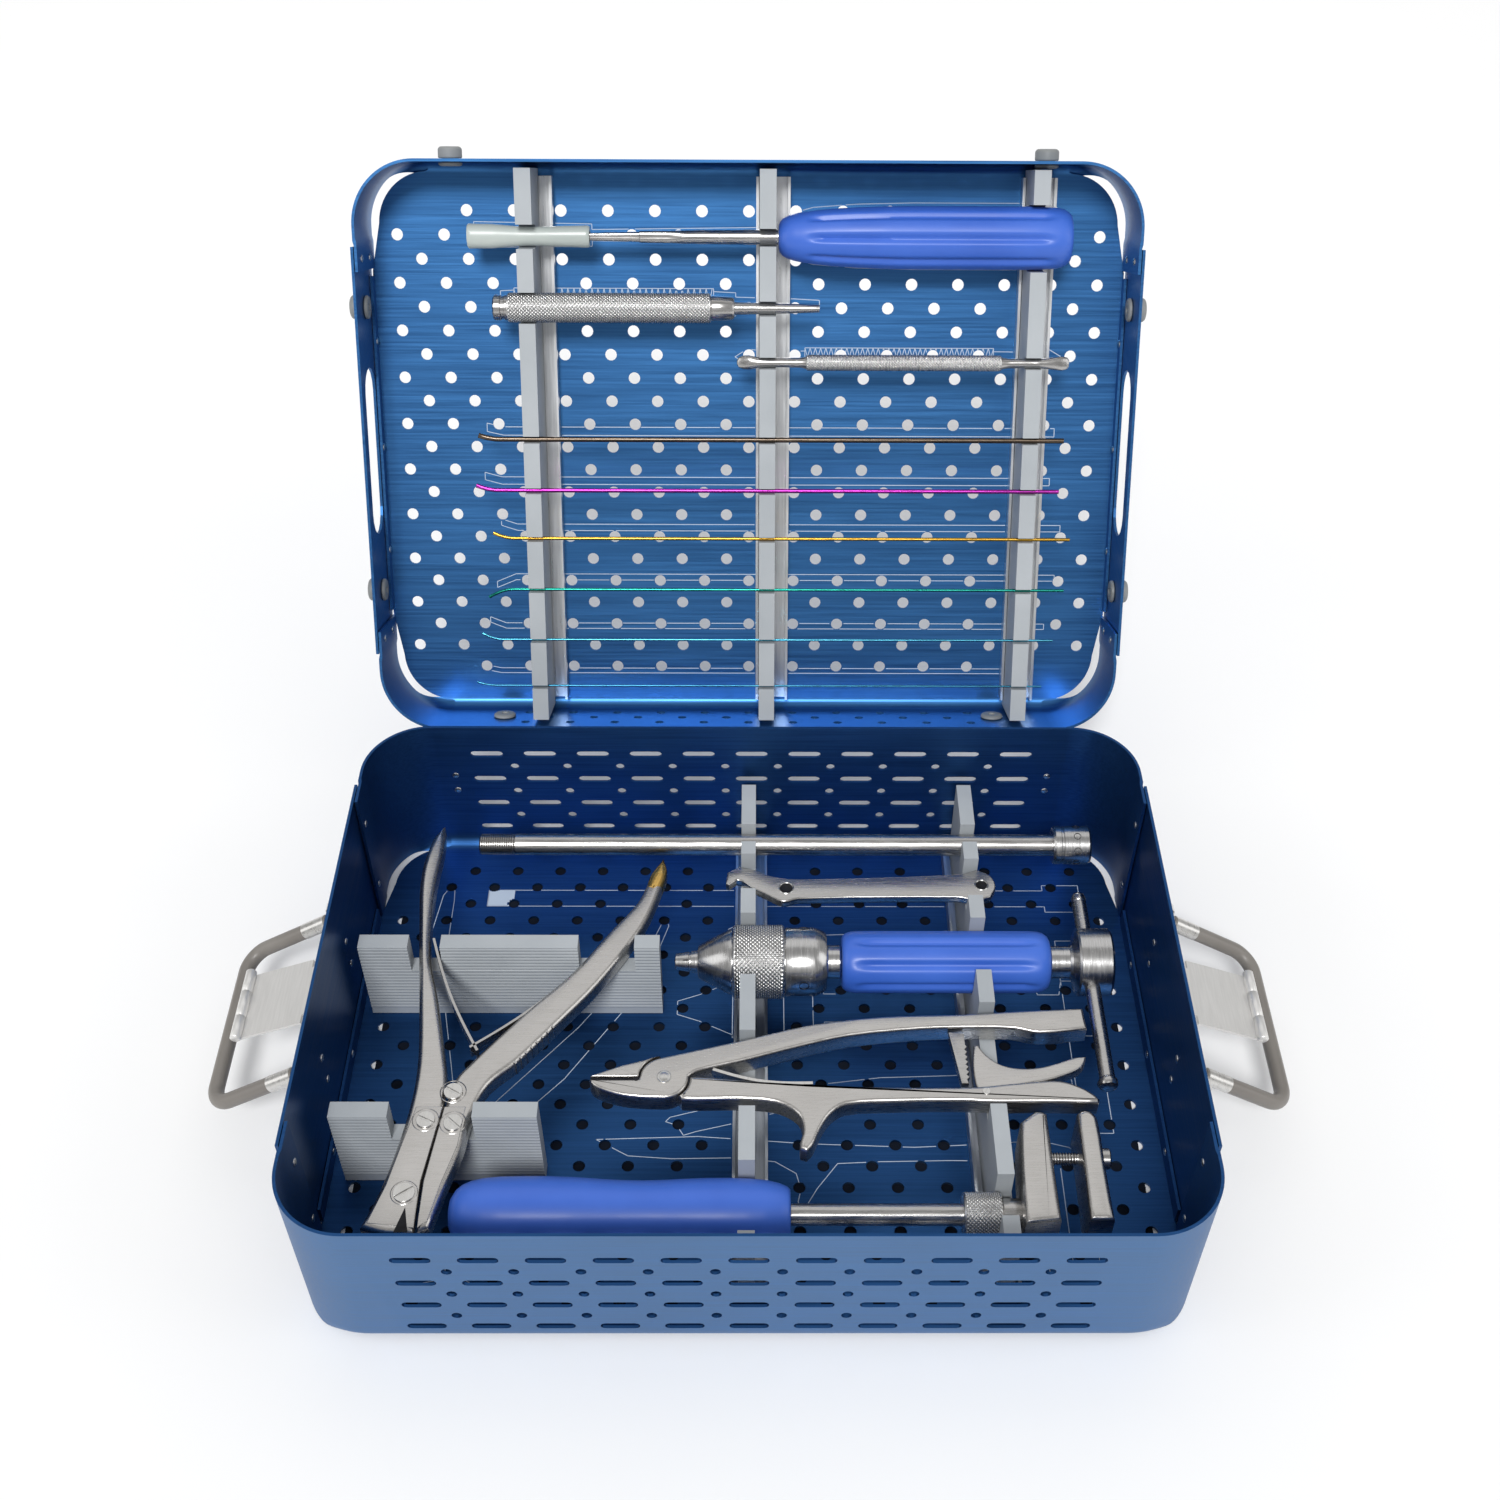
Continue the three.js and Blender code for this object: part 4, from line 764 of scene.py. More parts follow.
lidpart("elevator_knurl", turned([(32.0, 0), (32.0, 3.9), (32.6, 4.3), (139.6, 4.3), (140.2, 3.9), (140.2, 0)], n2, (0, E, THIN_Z), fn=lambda s, t, r: fn2(s, t, r) if 32.5 < s < 139.7 else r, dx=dx2), "elevator_tool", KNURLED, (), "lid_tool_steel", sharp=80)


def spat(profile):
    Vv, Ff = turned(profile, 28, (0, 0, 0), dx=1.5)
    out = []
    for x, y, z in Vv:
        e = (10 - x) / 16.6 if x < 10 else (x - 160) / 18.3 if x > 160 else 0
        e = max(0.0, min(1.0, e))
        out.append((x, y * (1 + 0.12 * e) + E, z * (1 - 0.72 * e) + THIN_Z + 1.1 * e * e))
    return out, Ff


eb = join([spat([(-6.6, 0), (-6.4, 1.2), (-5.4, 2.5), (-3, 3.4), (0, 3.6), (3, 3.2), (7, 2.7), (12, 2.55), (28, 2.7), (30.5, 3.1), (31.9, 3.5), (31.9, 0)]),
           spat([(140.3, 0), (140.3, 3.5), (141.6, 3.1), (144, 2.75), (158, 2.55), (164, 2.8), (170, 3.3), (174, 3.6), (177, 2.9), (178.1, 1.6), (178.3, 0)])])
lidpart("elevator_ends", eb, "elevator_tool", STEEL, ["elevator"], "lid_tool_steel")
for name, d, tip, knee, xr, mt in NAILS:
    pts = []
    for i in range(9):
        t = i / 8
        pts.append((tip[0] + (knee[0] + 2 - tip[0]) * t, knee[1] + (tip[1] - knee[1]) * (1 - t) ** 1.7, NAIL_Z))
    pts += [(knee[0] + 8, knee[1], NAIL_Z), (0, knee[1], NAIL_Z), (xr - 0.8, knee[1], NAIL_Z), (xr, knee[1], NAIL_Z)]
    Vv, Ff = tube(pts, d / 2, 16)
    # rounded, slightly flattened tip
    Vv = [((x, knee[1] + (y - knee[1]) , NAIL_Z + (z - NAIL_Z) * (0.55 if i < 16 else 0.8 if i < 32 else 1)) ) for i, (x, y, z) in enumerate(Vv)]
    lidpart(name + "_rod", (Vv, Ff), "pin_" + name[-2:], mt, [name], name)

# ------------------------------------------------------------------ turned pieces in the base
ROD_Z, IZ, CZ = 48.0, 42.0, 40.0
thread = [(-151.6, 0), (-151.6, 5.0), (-151.0, 5.6)]
x = -151.0
while x < -133:
    thread += [(x + 0.35, 6.0), (x + 0.65, 6.0), (x + 1.0, 5.25)]
    x += 1.25
rod = thread + [(x, 5.4), (x + 0.6, 6.0), (168.6, 6.0), (168.6, 0)]
piece("guide_rod_shaft", *turned(rod, 40, (0, 113, ROD_Z), dx=20), "rod", STEEL, ["guide_rod"], "tool_steel")
knob = turned([(168.5, 0), (168.5, 9.9), (169.6, 10.8), (172.6, 10.8), (173.0, 10.3), (174.0, 10.3), (174.4, 10.8), (188, 10.8), (189.3, 9.6), (189.3, 5.2), (186.8, 4.8), (186.8, 0)], 64, (0, 113, ROD_Z))
piece("guide_rod_knob", *knob, "rod", STEEL_FINE, (), "tool_steel")
for i in range(8):
    a = 2 * pi * i / 8 + 0.25
    hv = turned([(9.9, 0), (9.9, 2.0), (10.86, 2.0), (10.86, 1.7), (10.2, 1.6), (10.2, 0)], 20, (0, 0, 0), "X")
    Mx = Matrix.Translation(Vector((181.4, 113, ROD_Z))) @ Matrix.Rotation(a, 4, "X") @ Matrix.Rotation(pi / 2, 4, "Z")
    # painted shade: a near-black cup in each knob hole
    piece("knob_hole_%d" % i, *hv, "rod", RECESS_SHADE, (), "tool_steel", matrix=Mx)

grip_prof = [(48.2, 6.3), (48.2, 12.6), (48.8, 13.9), (50.2, 15.2), (53, 16.1), (56, 16.5), (148, 16.5), (152, 16.2), (155, 15.4), (157.4, 13.8), (158.3, 12.0), (158.3, 6.3), (48.2, 6.3)]
piece("inserter_sleeve_grip", *turned(grip_prof, 96, (0, Y, IZ), fn=lambda s, t, r: r if r < 8 else flutes(54, 152, 8, 1.9, 8.0)(s, t, r), dx=4), "inserter", GRIP, ["inserter_grip"], "blue_grip", sharp=50, weld=0.01)
fnc, nc, dxc = knurl(2.3, 0.80, 19.4)
piece("chuck_knurl", *turned([(-9.6, 14.4), (-9.6, 18.4), (-8.8, 19.4), (16.9, 19.4), (17.9, 18.4), (17.9, 14.4), (-9.6, 14.4)], nc, (0, Y, IZ), fn=lambda s, t, r: fnc(s, t, r) if r > 19.3 and -8.4 < s < 16.6 else r, dx=dxc), "chuck", KNURLED, ["chuck_sleeve"], "tool_steel", sharp=80, weld=0.01)
ib = [turned([(-40.2, 0), (-40.2, 3.2), (-39.8, 4.2), (-33, 5.4), (-32.6, 4.9), (-32.0, 4.9), (-31.6, 5.6), (-28.2, 6.2), (-28.0, 8.2), (-27.5, 8.9), (-11.6, 17.2), (-10.1, 17.5), (-10.1, 13.9), (18.3, 13.9), (18.3, 17.9), (19.0, 18.2), (33.4, 18.2), (34.4, 18.0), (38.4, 16.4), (40.1, 15.0), (40.1, 9.6), (41, 9.0), (47.0, 9.0), (47.8, 8.4), (47.8, 0)], 64, (0, Y, IZ)),
      turned([(158.7, 0), (158.7, 8.2), (159.2, 8.6), (169.0, 8.6), (170.4, 9.6), (171.8, 13), (172.6, 17.0), (173.6, 18), (189.6, 18), (190.9, 16.8), (190.9, 0)], 64, (0, Y, IZ))]
piece("inserter_chuck_body", *join(ib), "inserter", STEEL_FINE, ["inserter_body"], "tool_steel")
for i, a in enumerate((0.9, 3.0, 5.1)):
    hv = turned([(17.3, 0), (17.3, 2.6), (18.3, 2.6), (18.3, 2.3), (17.6, 2.2), (17.6, 0)], 20)
    Mx = Matrix.Translation(Vector((28.0, Y, IZ))) @ Matrix.Rotation(a, 4, "X") @ Matrix.Rotation(pi / 2, 4, "Z")
    # painted shade: a near-black cup in each chuck key hole
    piece("chuck_key_hole_%d" % i, *hv, "inserter", RECESS_SHADE, (), "tool_steel", matrix=Mx)
for k in range(3):
    a = 2 * pi * k / 3 + 0.5
    cv = [(-40.35, -0.35, 0.2), (-40.35, 0.35, 0.2), (-40.35, 0.35, 4.0), (-40.35, -0.35, 4.0), (-33, -0.35, 0.2), (-33, 0.35, 0.2), (-33, 0.35, 5.45), (-33, -0.35, 5.45)]
    cf = [(0, 1, 2, 3), (7, 6, 5, 4), (0, 4, 5, 1), (1, 5, 6, 2), (2, 6, 7, 3), (3, 7, 4, 0)]
    # painted shade: a near-black box in each collet slit
    piece("collet_slit_%d" % k, cv, cf, "inserter", RECESS_SHADE, (), "tool_steel", matrix=Matrix.Translation(Vector((0, Y, IZ))) @ Matrix.Rotation(a, 4, "X"))
tb = [(-45, 0), (-45, 2.9), (-44.4, 4.4), (-43.4, 5.0), (-41.0, 5.0), (-40.2, 4.6), (-39.6, 4.0), (74, 4.0), (74.5, 3.5), (75.5, 3.5), (76, 4.0), (79, 4.0), (80.6, 3.5), (81.6, 2.4), (81.6, 0)]
piece("tommy_bar_rod", *turned(tb, 36, (179.8, 0, IZ), "Y"), "tommy_bar", STEEL, ["t_bar"], "tool_steel")
cg = [(-142, 0), (-142, 4.5), (-141.4, 7.6), (-139, 11.5), (-136, 13.9), (-132, 15.6), (-126, 16.9), (-118, 17.6), (-107, 17.8), (-95, 17.8), (-84, 17.4), (-72, 16.6), (-61, 16.0), (-50, 15.8), (-40, 16.1), (-30, 16.6), (-20, 17), (-10, 17), (0, 16.7), (8, 16), (14, 14.6), (18, 13.0), (19.3, 11.6), (19.3, 0)]
piece("clamp_moulded_grip", *turned(cg, 96, (0, -115, CZ), dx=3), "clamp", GRIP, ["clamp_grip"], "blue_grip", sharp=50)
fnk, nk, dxk = knurl(1.9, 0.62, 10.4)
piece("clamp_knurl", *turned([(101, 5.3), (101, 9.6), (101.8, 10.4), (118.7, 10.4), (119.5, 9.6), (119.5, 5.3)], nk, (0, -115, CZ), fn=lambda s, t, r: fnk(s, t, r) if r > 10.3 and 101.9 < s < 118.6 else r, dx=dxk), "clamp", KNURLED, (), "tool_steel", sharp=80)
ch = [turned([(19.6, 0), (19.6, 5.2), (101, 5.2), (119.5, 5.2), (119.5, 7.0), (120.1, 7.5), (128, 7.5), (128.9, 7.0), (131, 7.0), (131, 0)], 48, (0, -115, CZ))]
jaw1 = [(128.4, -128), (145.2, -126), (144.9, -100), (144.7, -68), (142, -66.8), (139, -67), (131.3, -73), (129.2, -100)]
jaw2 = [(158.6, -126), (170, -126), (169.4, -98), (169, -71), (166.5, -67), (163, -66), (159.5, -68), (159.2, -100)]
scr = [(140, 0), (140, 3)]
x = 146.0
while x < 157.5:
    scr += [(x, 2.4), (x + 0.5, 3.1), (x + 0.9, 3.1)]
    x += 1.4
scr += [(158.6, 2.6), (170.6, 3), (170.6, 4.6), (171.1, 5.2), (174.4, 5.2), (175, 4.6), (175, 0)]
ch.append(turned(scr, 32, (0, -84.6, CZ)))
piece("clamp_shaft", *join(ch), "clamp", STEEL, ["clamp_head"], "tool_steel")
for i, (q, z0, z1) in enumerate(((jaw1, CZ - 15, CZ + 15), (jaw2, CZ - 15, CZ + 15))):
    piece("clamp_jaw_%d" % (i + 1), *slab(smooth(q, 3), z0, z1, 2.4, 4), "clamp", FORGED, (), "tool_steel", sharp=40)

# ------------------------------------------------------------------ bails
BX, BZ, BY, BR = 221.0, 60.0, 48.5, 4.0
bc, bs, BL = 49.5 / 57.88, 30 / 57.88, 57.88
for sg, side, body_name in ((1, "right", "bail_r"), (-1, "left", "bail_l")):
    def at(r, y):
        return (sg * (BX + r * bc), y, BZ - r * bs)
    half = [at(3, BY), at(16, BY), at(30, BY), at(BL - 12, BY)]
    for i in range(1, 11):
        t = i / 10 * pi / 2
        half.append(at(BL - 12 + 12 * math.sin(t), BY - 12 + 12 * math.cos(t)))
    pts = half + [(p[0], -p[1], p[2]) for p in half[::-1]]
    piece("bail_coated_" + side, *tube(pts, BR, 24), body_name, BAILM, ["bail_" + side], "bail_coating", sharp=60)
    m = []
    for k in (1, -1):
        m.append(turned([(46 if k > 0 else -58.2, 0), (46 if k > 0 else -58.2, 2.5), (58.2 if k > 0 else -46, 2.5), (58.2 if k > 0 else -46, 0)], 24, (sg * BX, 0, BZ), "Y"))
        m.append(turned([(k * BY - 4, 0), (k * BY - 4, 3.7), (k * BY - 3.4, 4.3), (k * BY + 3.4, 4.3), (k * BY + 4, 3.7), (k * BY + 4, 0)], 32, (sg * BX, 0, BZ), "Y"))
        c = [Vector(at(4, k * BY)), Vector(at(19, k * BY))]
        m.append(tube([c[0], c[0].lerp(c[1], 0.5), c[1]], 4.25, 24))
    piece("bail_clips_" + side, *join(m), body_name, STAIN, (), "steel_fittings")

for sg, side, body_name in ((1, "right", "latch_r"), (-1, "left", "latch_l")):
    parts = []
    for y0 in (-12.5, 7.5):
        hel = []
        for i in range(61):
            t = i / 60
            hel.append((sg * 219.60 + 3.4 * math.cos(8 * pi * t), y0 + 5 * t, 64 + 3.4 * math.sin(8 * pi * t)))
        parts.append(tube(hel, 0.55, 8))
    for y0 in (-20.2, 19.0):
        parts.append(turned([(y0, 0), (y0, 2.2), (y0 + 0.2, 2.6), (y0 + 1.0, 2.6), (y0 + 1.2, 2.2), (y0 + 1.2, 0)], 24, (sg * 219.60, 0, 64), "Y"))
    piece("latch_springs_" + side, *join(parts), body_name, STEEL, (), "steel_fittings", sharp=60)
    roll = [(-21.6, 0), (-21.6, 2.2), (-21.0, 2.8), (-8.2, 2.8), (-8.0, 2.5), (-7.6, 2.5), (-7.4, 2.8), (7.4, 2.8), (7.6, 2.5), (8.0, 2.5), (8.2, 2.8), (21.0, 2.8), (21.6, 2.2), (21.6, 0)]
    piece("latch_roll_" + side, *turned(roll, 32, (sg * 260.44, 0, 50.30), "Y"), body_name, LATCHM, (), "steel_fittings", sharp=60)

# ------------------------------------------------------------------ bumpers
gz = 119.05
bp = [(-6.4, 0), (-6.4, 4.9), (-6.1, 5.6), (-5.4, 6.3), (-4.6, 6.5), (-0.9, 6.5), (-0.3, 6.1), (-0.3, 4.5), (1.8, 4.5), (1.8, 6.2), (2.2, 6.5), (3.1, 6.3), (3.6, 5.7), (3.8, 5.0), (3.8, 2.2), (3.0, 1.8), (3.0, 0)]
SPOT = {"front_left": (-162, -158.5, 0), "front_right": (162, -158.5, 0), "back_left": (-145, 158.5, pi), "back_right": (145, 158.5, pi),
        "left_front": (-214.4, -80, -pi / 2), "left_back": (-214.4, 80, -pi / 2), "right_front": (214.4, -80, pi / 2), "right_back": (214.4, 80, pi / 2)}
for k, (x, y, a) in SPOT.items():
    Mx = LID @ Matrix.Translation(Vector((x, y, gz))) @ Matrix.Rotation(a, 4, "Z")
    piece("bumper_plug_" + k, *turned(bp, 40, (0, 0, 0), "Y"), "lid", RUB, ["bumper_" + k], "bumper", matrix=Mx)

# ------------------------------------------------------------------ rivets and screws
def dome(r, h, n=20):
    return turned([(0, 0), (0, r)] + [(h * math.sin(pi / 2 * i / 4), r * math.cos(pi / 2 * i / 4)) for i in range(1, 4)] + [(h, 0)], n)


def stud(name, loc, normal, r, h, body, material, slot, matrix=None):
    q = Vector((1, 0, 0)).rotation_difference(Vector(normal)).to_matrix().to_4x4()
    Mx = Matrix.Translation(Vector(loc)) @ q
    if matrix is not None:
        Mx = matrix @ Mx
    return piece(name, *dome(r, h), body, material, (), slot, matrix=Mx)


def many(name, spots, r, h, body, material, slot, matrix=None):
    parts = []
    for loc, normal in spots:
        q = Vector((1, 0, 0)).rotation_difference(Vector(normal)).to_matrix().to_4x4()
        Mx = Matrix.Translation(Vector(loc)) @ q
        v, f = dome(r, h)
        parts.append(([tuple(Mx @ Vector(p)) for p in v], f))
    V, F = join(parts)
    return piece(name, V, F, body, material, (), slot, matrix=matrix)


spots = []
for sg in (-1, 1):
    for y in (-106.5, 106.5):
        for z in (72, 22):
            spots += [((sg * 214.4, y, z), (sg, 0, 0)), ((sg * 210.9, y, z), (-sg, 0, 0))]
    for y in (-37, 37):
        for z in (56, 38):
            spots += [((sg * 212.9, y, z), (-sg, 0, 0)), ((sg * 216.2, y, z), (sg, 0, 0))]
    for y in (-60, 0, 60):
        spots += [((sg * 214.4, y, 7.5), (sg, 0, 0)), ((sg * 211.1, y, 7.5), (-sg, 0, 0))]
many("base_rivets", spots, 2.1, 0.75, "base", STAIN, "steel_fittings")
spots = []
for sg in (-1, 1):
    for y in (-106.5, 106.5):
        for z in (108, 130):
            spots += [((sg * 214.4, y, z), (sg, 0, 0)), ((sg * 210.9, y, z), (-sg, 0, 0))]
    for y in (-60, 0, 60):
        spots += [((sg * 214.4, y, 137), (sg, 0, 0)), ((sg * 211.1, y, 137), (-sg, 0, 0))]
many("lid_rivets", spots, 2.1, 0.75, "lid", STAIN, "steel_fittings", matrix=LID)
spots = []
for xc in (-169.5, 169.5):
    for z in (46, 58):
        spots += [((xc, 160.0, z), (0, 1, 0)), ((xc, 157.0, z), (0, -1, 0))]
many("hinge_rivets", spots, 2.0, 0.7, "base", STAIN, "steel_fittings")
many("strap_rivets", [((xc, 160.0, z), (0, 1, 0)) for xc in (-167.5, 171.5) for z in (105, 118)], 2.0, 0.7, "lid", STAIN, "steel_fittings", matrix=LID)


def screw(name, x, y, z, r, h, ang, body, stand=(), slot_w=0.9):
    """cheese-head screw with a sawn slot, axis +Z"""
    parts = []
    a = math.asin(slot_w / r)
    for side in (0, pi):
        pts = [(r * math.cos(t), r * math.sin(t)) for t in [a + (pi - 2 * a) * i / 18 for i in range(19)]]
        pts = [(px * math.cos(side + ang) - py * math.sin(side + ang) + x, px * math.sin(side + ang) + py * math.cos(side + ang) + y) for px, py in pts]
        parts.append(prism(pts, z + h * 0.3, z + h))
    parts.append(prism(circle(x, y, r, 36), z, z + h * 0.32))
    V, F = join(parts)
    return piece(name, V, F, body, STAIN, (), "tool_steel", bevel=0.18)


ztop = 51.0
left = [(-172.5, 125), (-178.1, 115.1), (-181.2, 89.2), (-177.7, 53.8), (-171.5, 7.2), (-166.8, -30.4), (-166.2, -50), (-168, -72), (-174.5, -108), (-181, -127.6), (-168, -131), (-155.6, -130.6),
        (-155.7, -103.7), (-150.3, -62.0), (-150.6, -46), (-153.6, -30.4), (-162.2, 7.2), (-168.4, 30), (-171.3, 53.8), (-172.6, 82), (-171.4, 111.4)]
right = [(-149.7, -62.0), (-154.5, -103.7), (-154.2, -130.5), (-149, -127.6), (-144, -104.8), (-138.6, -84), (-136.2, -66), (-129.7, -48.6), (-116.7, -35.2), (-98.5, -11.8), (-79.6, 13.7), (-60.3, 47.1), (-53, 66), (-47, 92.4),
         (-48.9, 100.2), (-54.6, 90), (-61.0, 70.5), (-75, 49.5), (-93, 22), (-112.4, -0.5), (-131.8, -24.5), (-140.4, -36), (-146.4, -45)]
piece("cutter_arm_left", *slab(smooth(left), 39, ztop, 3.0, 5), "cutter", FORGED, ["cutter_left"], "tool_steel", sharp=40)
piece("cutter_arm_right", *slab(smooth(right), 39, ztop, 3.0, 5), "cutter_r", FORGED, ["cutter_right"], "tool_steel", sharp=40)
piece("cutter_plate", *join([slab([(-163.5, -62), (-150.35, -62), (-155.75, -103.7), (-155.65, -128.5), (-178, -126), (-172, -106)], 50.0, 51.15, 0.5, 3)]), "cutter", FORGED, (), "tool_steel", sharp=40)
piece("cutter_plate_right", *join([slab([(-149.65, -62), (-139, -62), (-140.5, -84), (-146, -105), (-150, -125), (-154.1, -128.5), (-154.45, -103.7)], 50.0, 51.15, 0.5, 3)]), "cutter_r", FORGED, (), "tool_steel", sharp=40)
# painted shade: a near-black wedge in the jaw notch
piece("cutter_jaw_notch", *prism([(-161.0, -117.5), (-158.2, -130.6), (-164.8, -130.8)], 50.9, 51.22), "cutter", RECESS_SHADE, (), "tool_steel", bevel=0.1)
px, py = -42.5, -48.0
fixed = [(-79.3, -48.95), (-55.0, -48.75)] + arc(px, py, 12.0, 176, 98, 8) + [(-34, -33.4), (-5.2, -25.8), (31.4, -15.9), (68.8, -10.9), (106.2, -9.6), (140, -7.2), (169.7, -5.7), (170.4, -18.3), (146, -20.8), (133.1, -18), (110, -17.6), (86.7, -18.4), (50, -22.7), (24, -29.5), (-5.1, -38.4), (-26, -44.0)] + arc(px, py, 12.0, 4, -98, 10) + [(-52, -59.6), (-62.5, -58.4), (-72, -55.4), (-77.4, -52.4)]
moving_jaw = [(-79.0, -47.7), (-55.9, -47.5)] + arc(px, py, 12.7, 177, 100, 8) + [(-49, -36.6), (-56, -38.6), (-64, -41), (-70.7, -43.6), (-77, -46.2)]
moving = arc(px, py, 12.7, -54, 2, 8) + [(-24, -47.4), (-5, -49.2), (30.6, -51.9), (58, -53.1), (88, -53.5), (112, -53.1), (127, -51.4), (148, -49.4), (155.8, -50.2), (163.7, -53.6), (169, -57.6), (171.4, -60.6), (170.6, -62.6), (156.1, -62.2), (137.9, -62), (120, -62.2), (102.3, -61.4), (66.3, -62.1), (47, -63.6), (39.5, -68.5), (34, -77.5), (30.5, -86), (27.4, -89.8), (24.3, -88.6), (24.1, -85.0), (25.7, -78.1), (23.4, -69), (12.8, -62.4), (-4.9, -60.6), (-26, -60.9), (-33.4, -60.6)]
piece("pliers_fixed_lever", *slab(smooth(fixed, 3), 44, 56, 1.5, 4), "pliers", FORGED, ["pliers_arm_upper"], "tool_steel", sharp=40)
piece("pliers_moving_jaw", *slab(smooth(moving_jaw, 3), 44, 55.9, 1.1, 4), "pliers_lower", FORGED, (), "tool_steel", sharp=40)
mv, mf = slab(smooth(moving, 3), 44, 56, 2.0, 5)
piece("pliers_moving_lever", mv, mf, "pliers_lower", FORGED, ["pliers_arm_lower"], "tool_steel", sharp=40)
lever = [(112.4, -27.5), (114.6, -27.5), (116.0, -30.2), (118.4, -33.8), (123, -38), (128.8, -40.6), (136, -41.6), (143.7, -41), (150, -39.4), (156.7, -37), (163, -34.8), (168, -34.4), (167, -38), (163.6, -42), (156, -45.6), (147.8, -48.4), (137, -50.8), (127.4, -53), (117, -55), (112.6, -54.4), (111.4, -50.5), (111, -39.7)]
piece("pliers_release_lever", *slab(smooth(lever, 3), 47.4, 54.4, 1.1, 4), "pliers_release", FORGED, ["pliers_lever"], "tool_steel", sharp=40)
# painted shade: a near-black disc in the jaw hole and a near-black sawtooth between the jaw teeth
piece("pliers_jaw_hole", *turned([(56.0, 0), (56.0, 1.3), (56.13, 1.3), (56.13, 0)], 24, (-56.2, -49.1, 0), "Z"), "pliers", RECESS_SHADE, (), "tool_steel")
piece("pliers_teeth", *prism([(-78.4, -50.0)] + [(-78.2 + 0.85 * i, -48.35 if i % 2 else -49.45) for i in range(26)] + [(-56.4, -50.1)], 55.2, 56.14), "pliers", RECESS_SHADE, (), "tool_steel", bevel=0.05)
sp = hook = [(x, y) for x, y in body]
sv, sf = slab(smooth(sp, 3), 45.6, 51, 0.9, 3)
piece("spanner_body", sv, sf, "spanner", STEEL, ["hook_spanner"], "tool_steel", sharp=40)
for i, (hx, hy, hr) in enumerate(((19.2, 78.6, 3.4), (126, 81, 3.0))):
    hole = turned([(51.0, hr), (51.35, hr + 0.5), (51.05, hr + 0.9), (50.7, hr + 0.9), (50.7, hr)], 28, (hx, hy, 0), "Z")
    piece("spanner_eye_%d" % i, *join([hole]), "spanner", STEEL_FINE, (), "tool_steel", weld=0.01)
    # painted shade: a near-black disc down each bore
    piece("spanner_bore_%d" % i, *turned([(50.9, 0), (50.9, hr), (51.12, hr), (51.12, hr - 0.3), (51.04, hr - 0.5), (51.04, 0)], 28, (hx, hy, 0), "Z"), "spanner", RECESS_SHADE, (), "tool_steel")
for i, (x, y, a, b) in enumerate(((-146.3, -53.5, 1.05 + pi / 2, "cutter_r"), (-157.8, -69.8, 2.7, "cutter"), (-144.3, -71.5, 2.4, "cutter_r"), (-162.6, -110, 0.6, "cutter"))):
    screw("cutter_screw_%d" % (i + 1), x, y, ztop + 0.1, 4.6 if i < 3 else 5.2, 0.9, a, b, slot_w=0.6)
    ring = turned([(51.1, 6.1), (51.32, 6.3), (51.1, 6.6), (50.9, 6.6), (50.9, 6.1)], 40, (x, y, 0), "Z")
    piece("cutter_screw_seat_%d" % (i + 1), *ring, b, FORGED, (), "tool_steel", weld=0.01)
piece("pliers_pivot_rivet", *turned([(55.9, 0), (55.9, 3.6), (56.2, 3.6), (56.35, 3.3), (56.2, 3.0), (56.2, 2.7), (56.5, 2.2), (56.6, 0)], 40, (px, py, 0), "Z"), "pliers", STAIN, (), "tool_steel")
screw("lever_pivot_screw", 116.1, -56.4, 56.0, 1.9, 0.4, 1.2, "pliers_lower", slot_w=0.3)
ratchet = [(100.3, -19.5), (108.0, -20.5), (108.2, -27)] + [(108.9 - (1.3 if i % 2 else 0.0), -28.5 - i * 1.5) for i in range(14)] + [(108.2, -50.4), (104.6, -50.4)]
piece("pliers_ratchet_bar", *slab(ratchet, 48.0, 54.0, 0.4, 2), "pliers", STEEL, (), "tool_steel", sharp=30)

# ------------------------------------------------------------------ springs, thumb ribs, gilt tip
def strip(pts, w, z, th, body, name, material=STEEL):
    """flat spring on edge: path in XY, width w along Z"""
    L, R = [], []
    for i, p in enumerate(pts):
        a, b = Vector(pts[max(i - 1, 0)]), Vector(pts[min(i + 1, len(pts) - 1)])
        d = (b - a).normalized()
        nrm = Vector((-d.y, d.x)) * th / 2
        L.append((p[0] + nrm.x, p[1] + nrm.y))
        R.append((p[0] - nrm.x, p[1] - nrm.y))
    return piece(name, *prism(L + R[::-1], z - w / 2, z + w / 2), body, material, (), "tool_steel")


def bow(a, b, sag, n=14):
    a, b = Vector(a), Vector(b)
    d = b - a
    nrm = Vector((-d.y, d.x)).normalized()
    return [tuple(a + d * (i / n) + nrm * sag * math.sin(pi * i / n)) for i in range(n + 1)]


strip(bow((-168.6, 44.2), (-137.5, -27.9), -2.5), 8, 46, 1.3, "cutter", "cutter_spring_left")
strip(bow((-94.4, 17.5), (-141.5, -25.9), 2.0), 8, 46, 1.3, "cutter_r", "cutter_spring_right")
strip(bow((-18.5, -42.3), (31, -50.4), -3.0), 6, 51.5, 1.6, "pliers", "pliers_spring", STAIN)

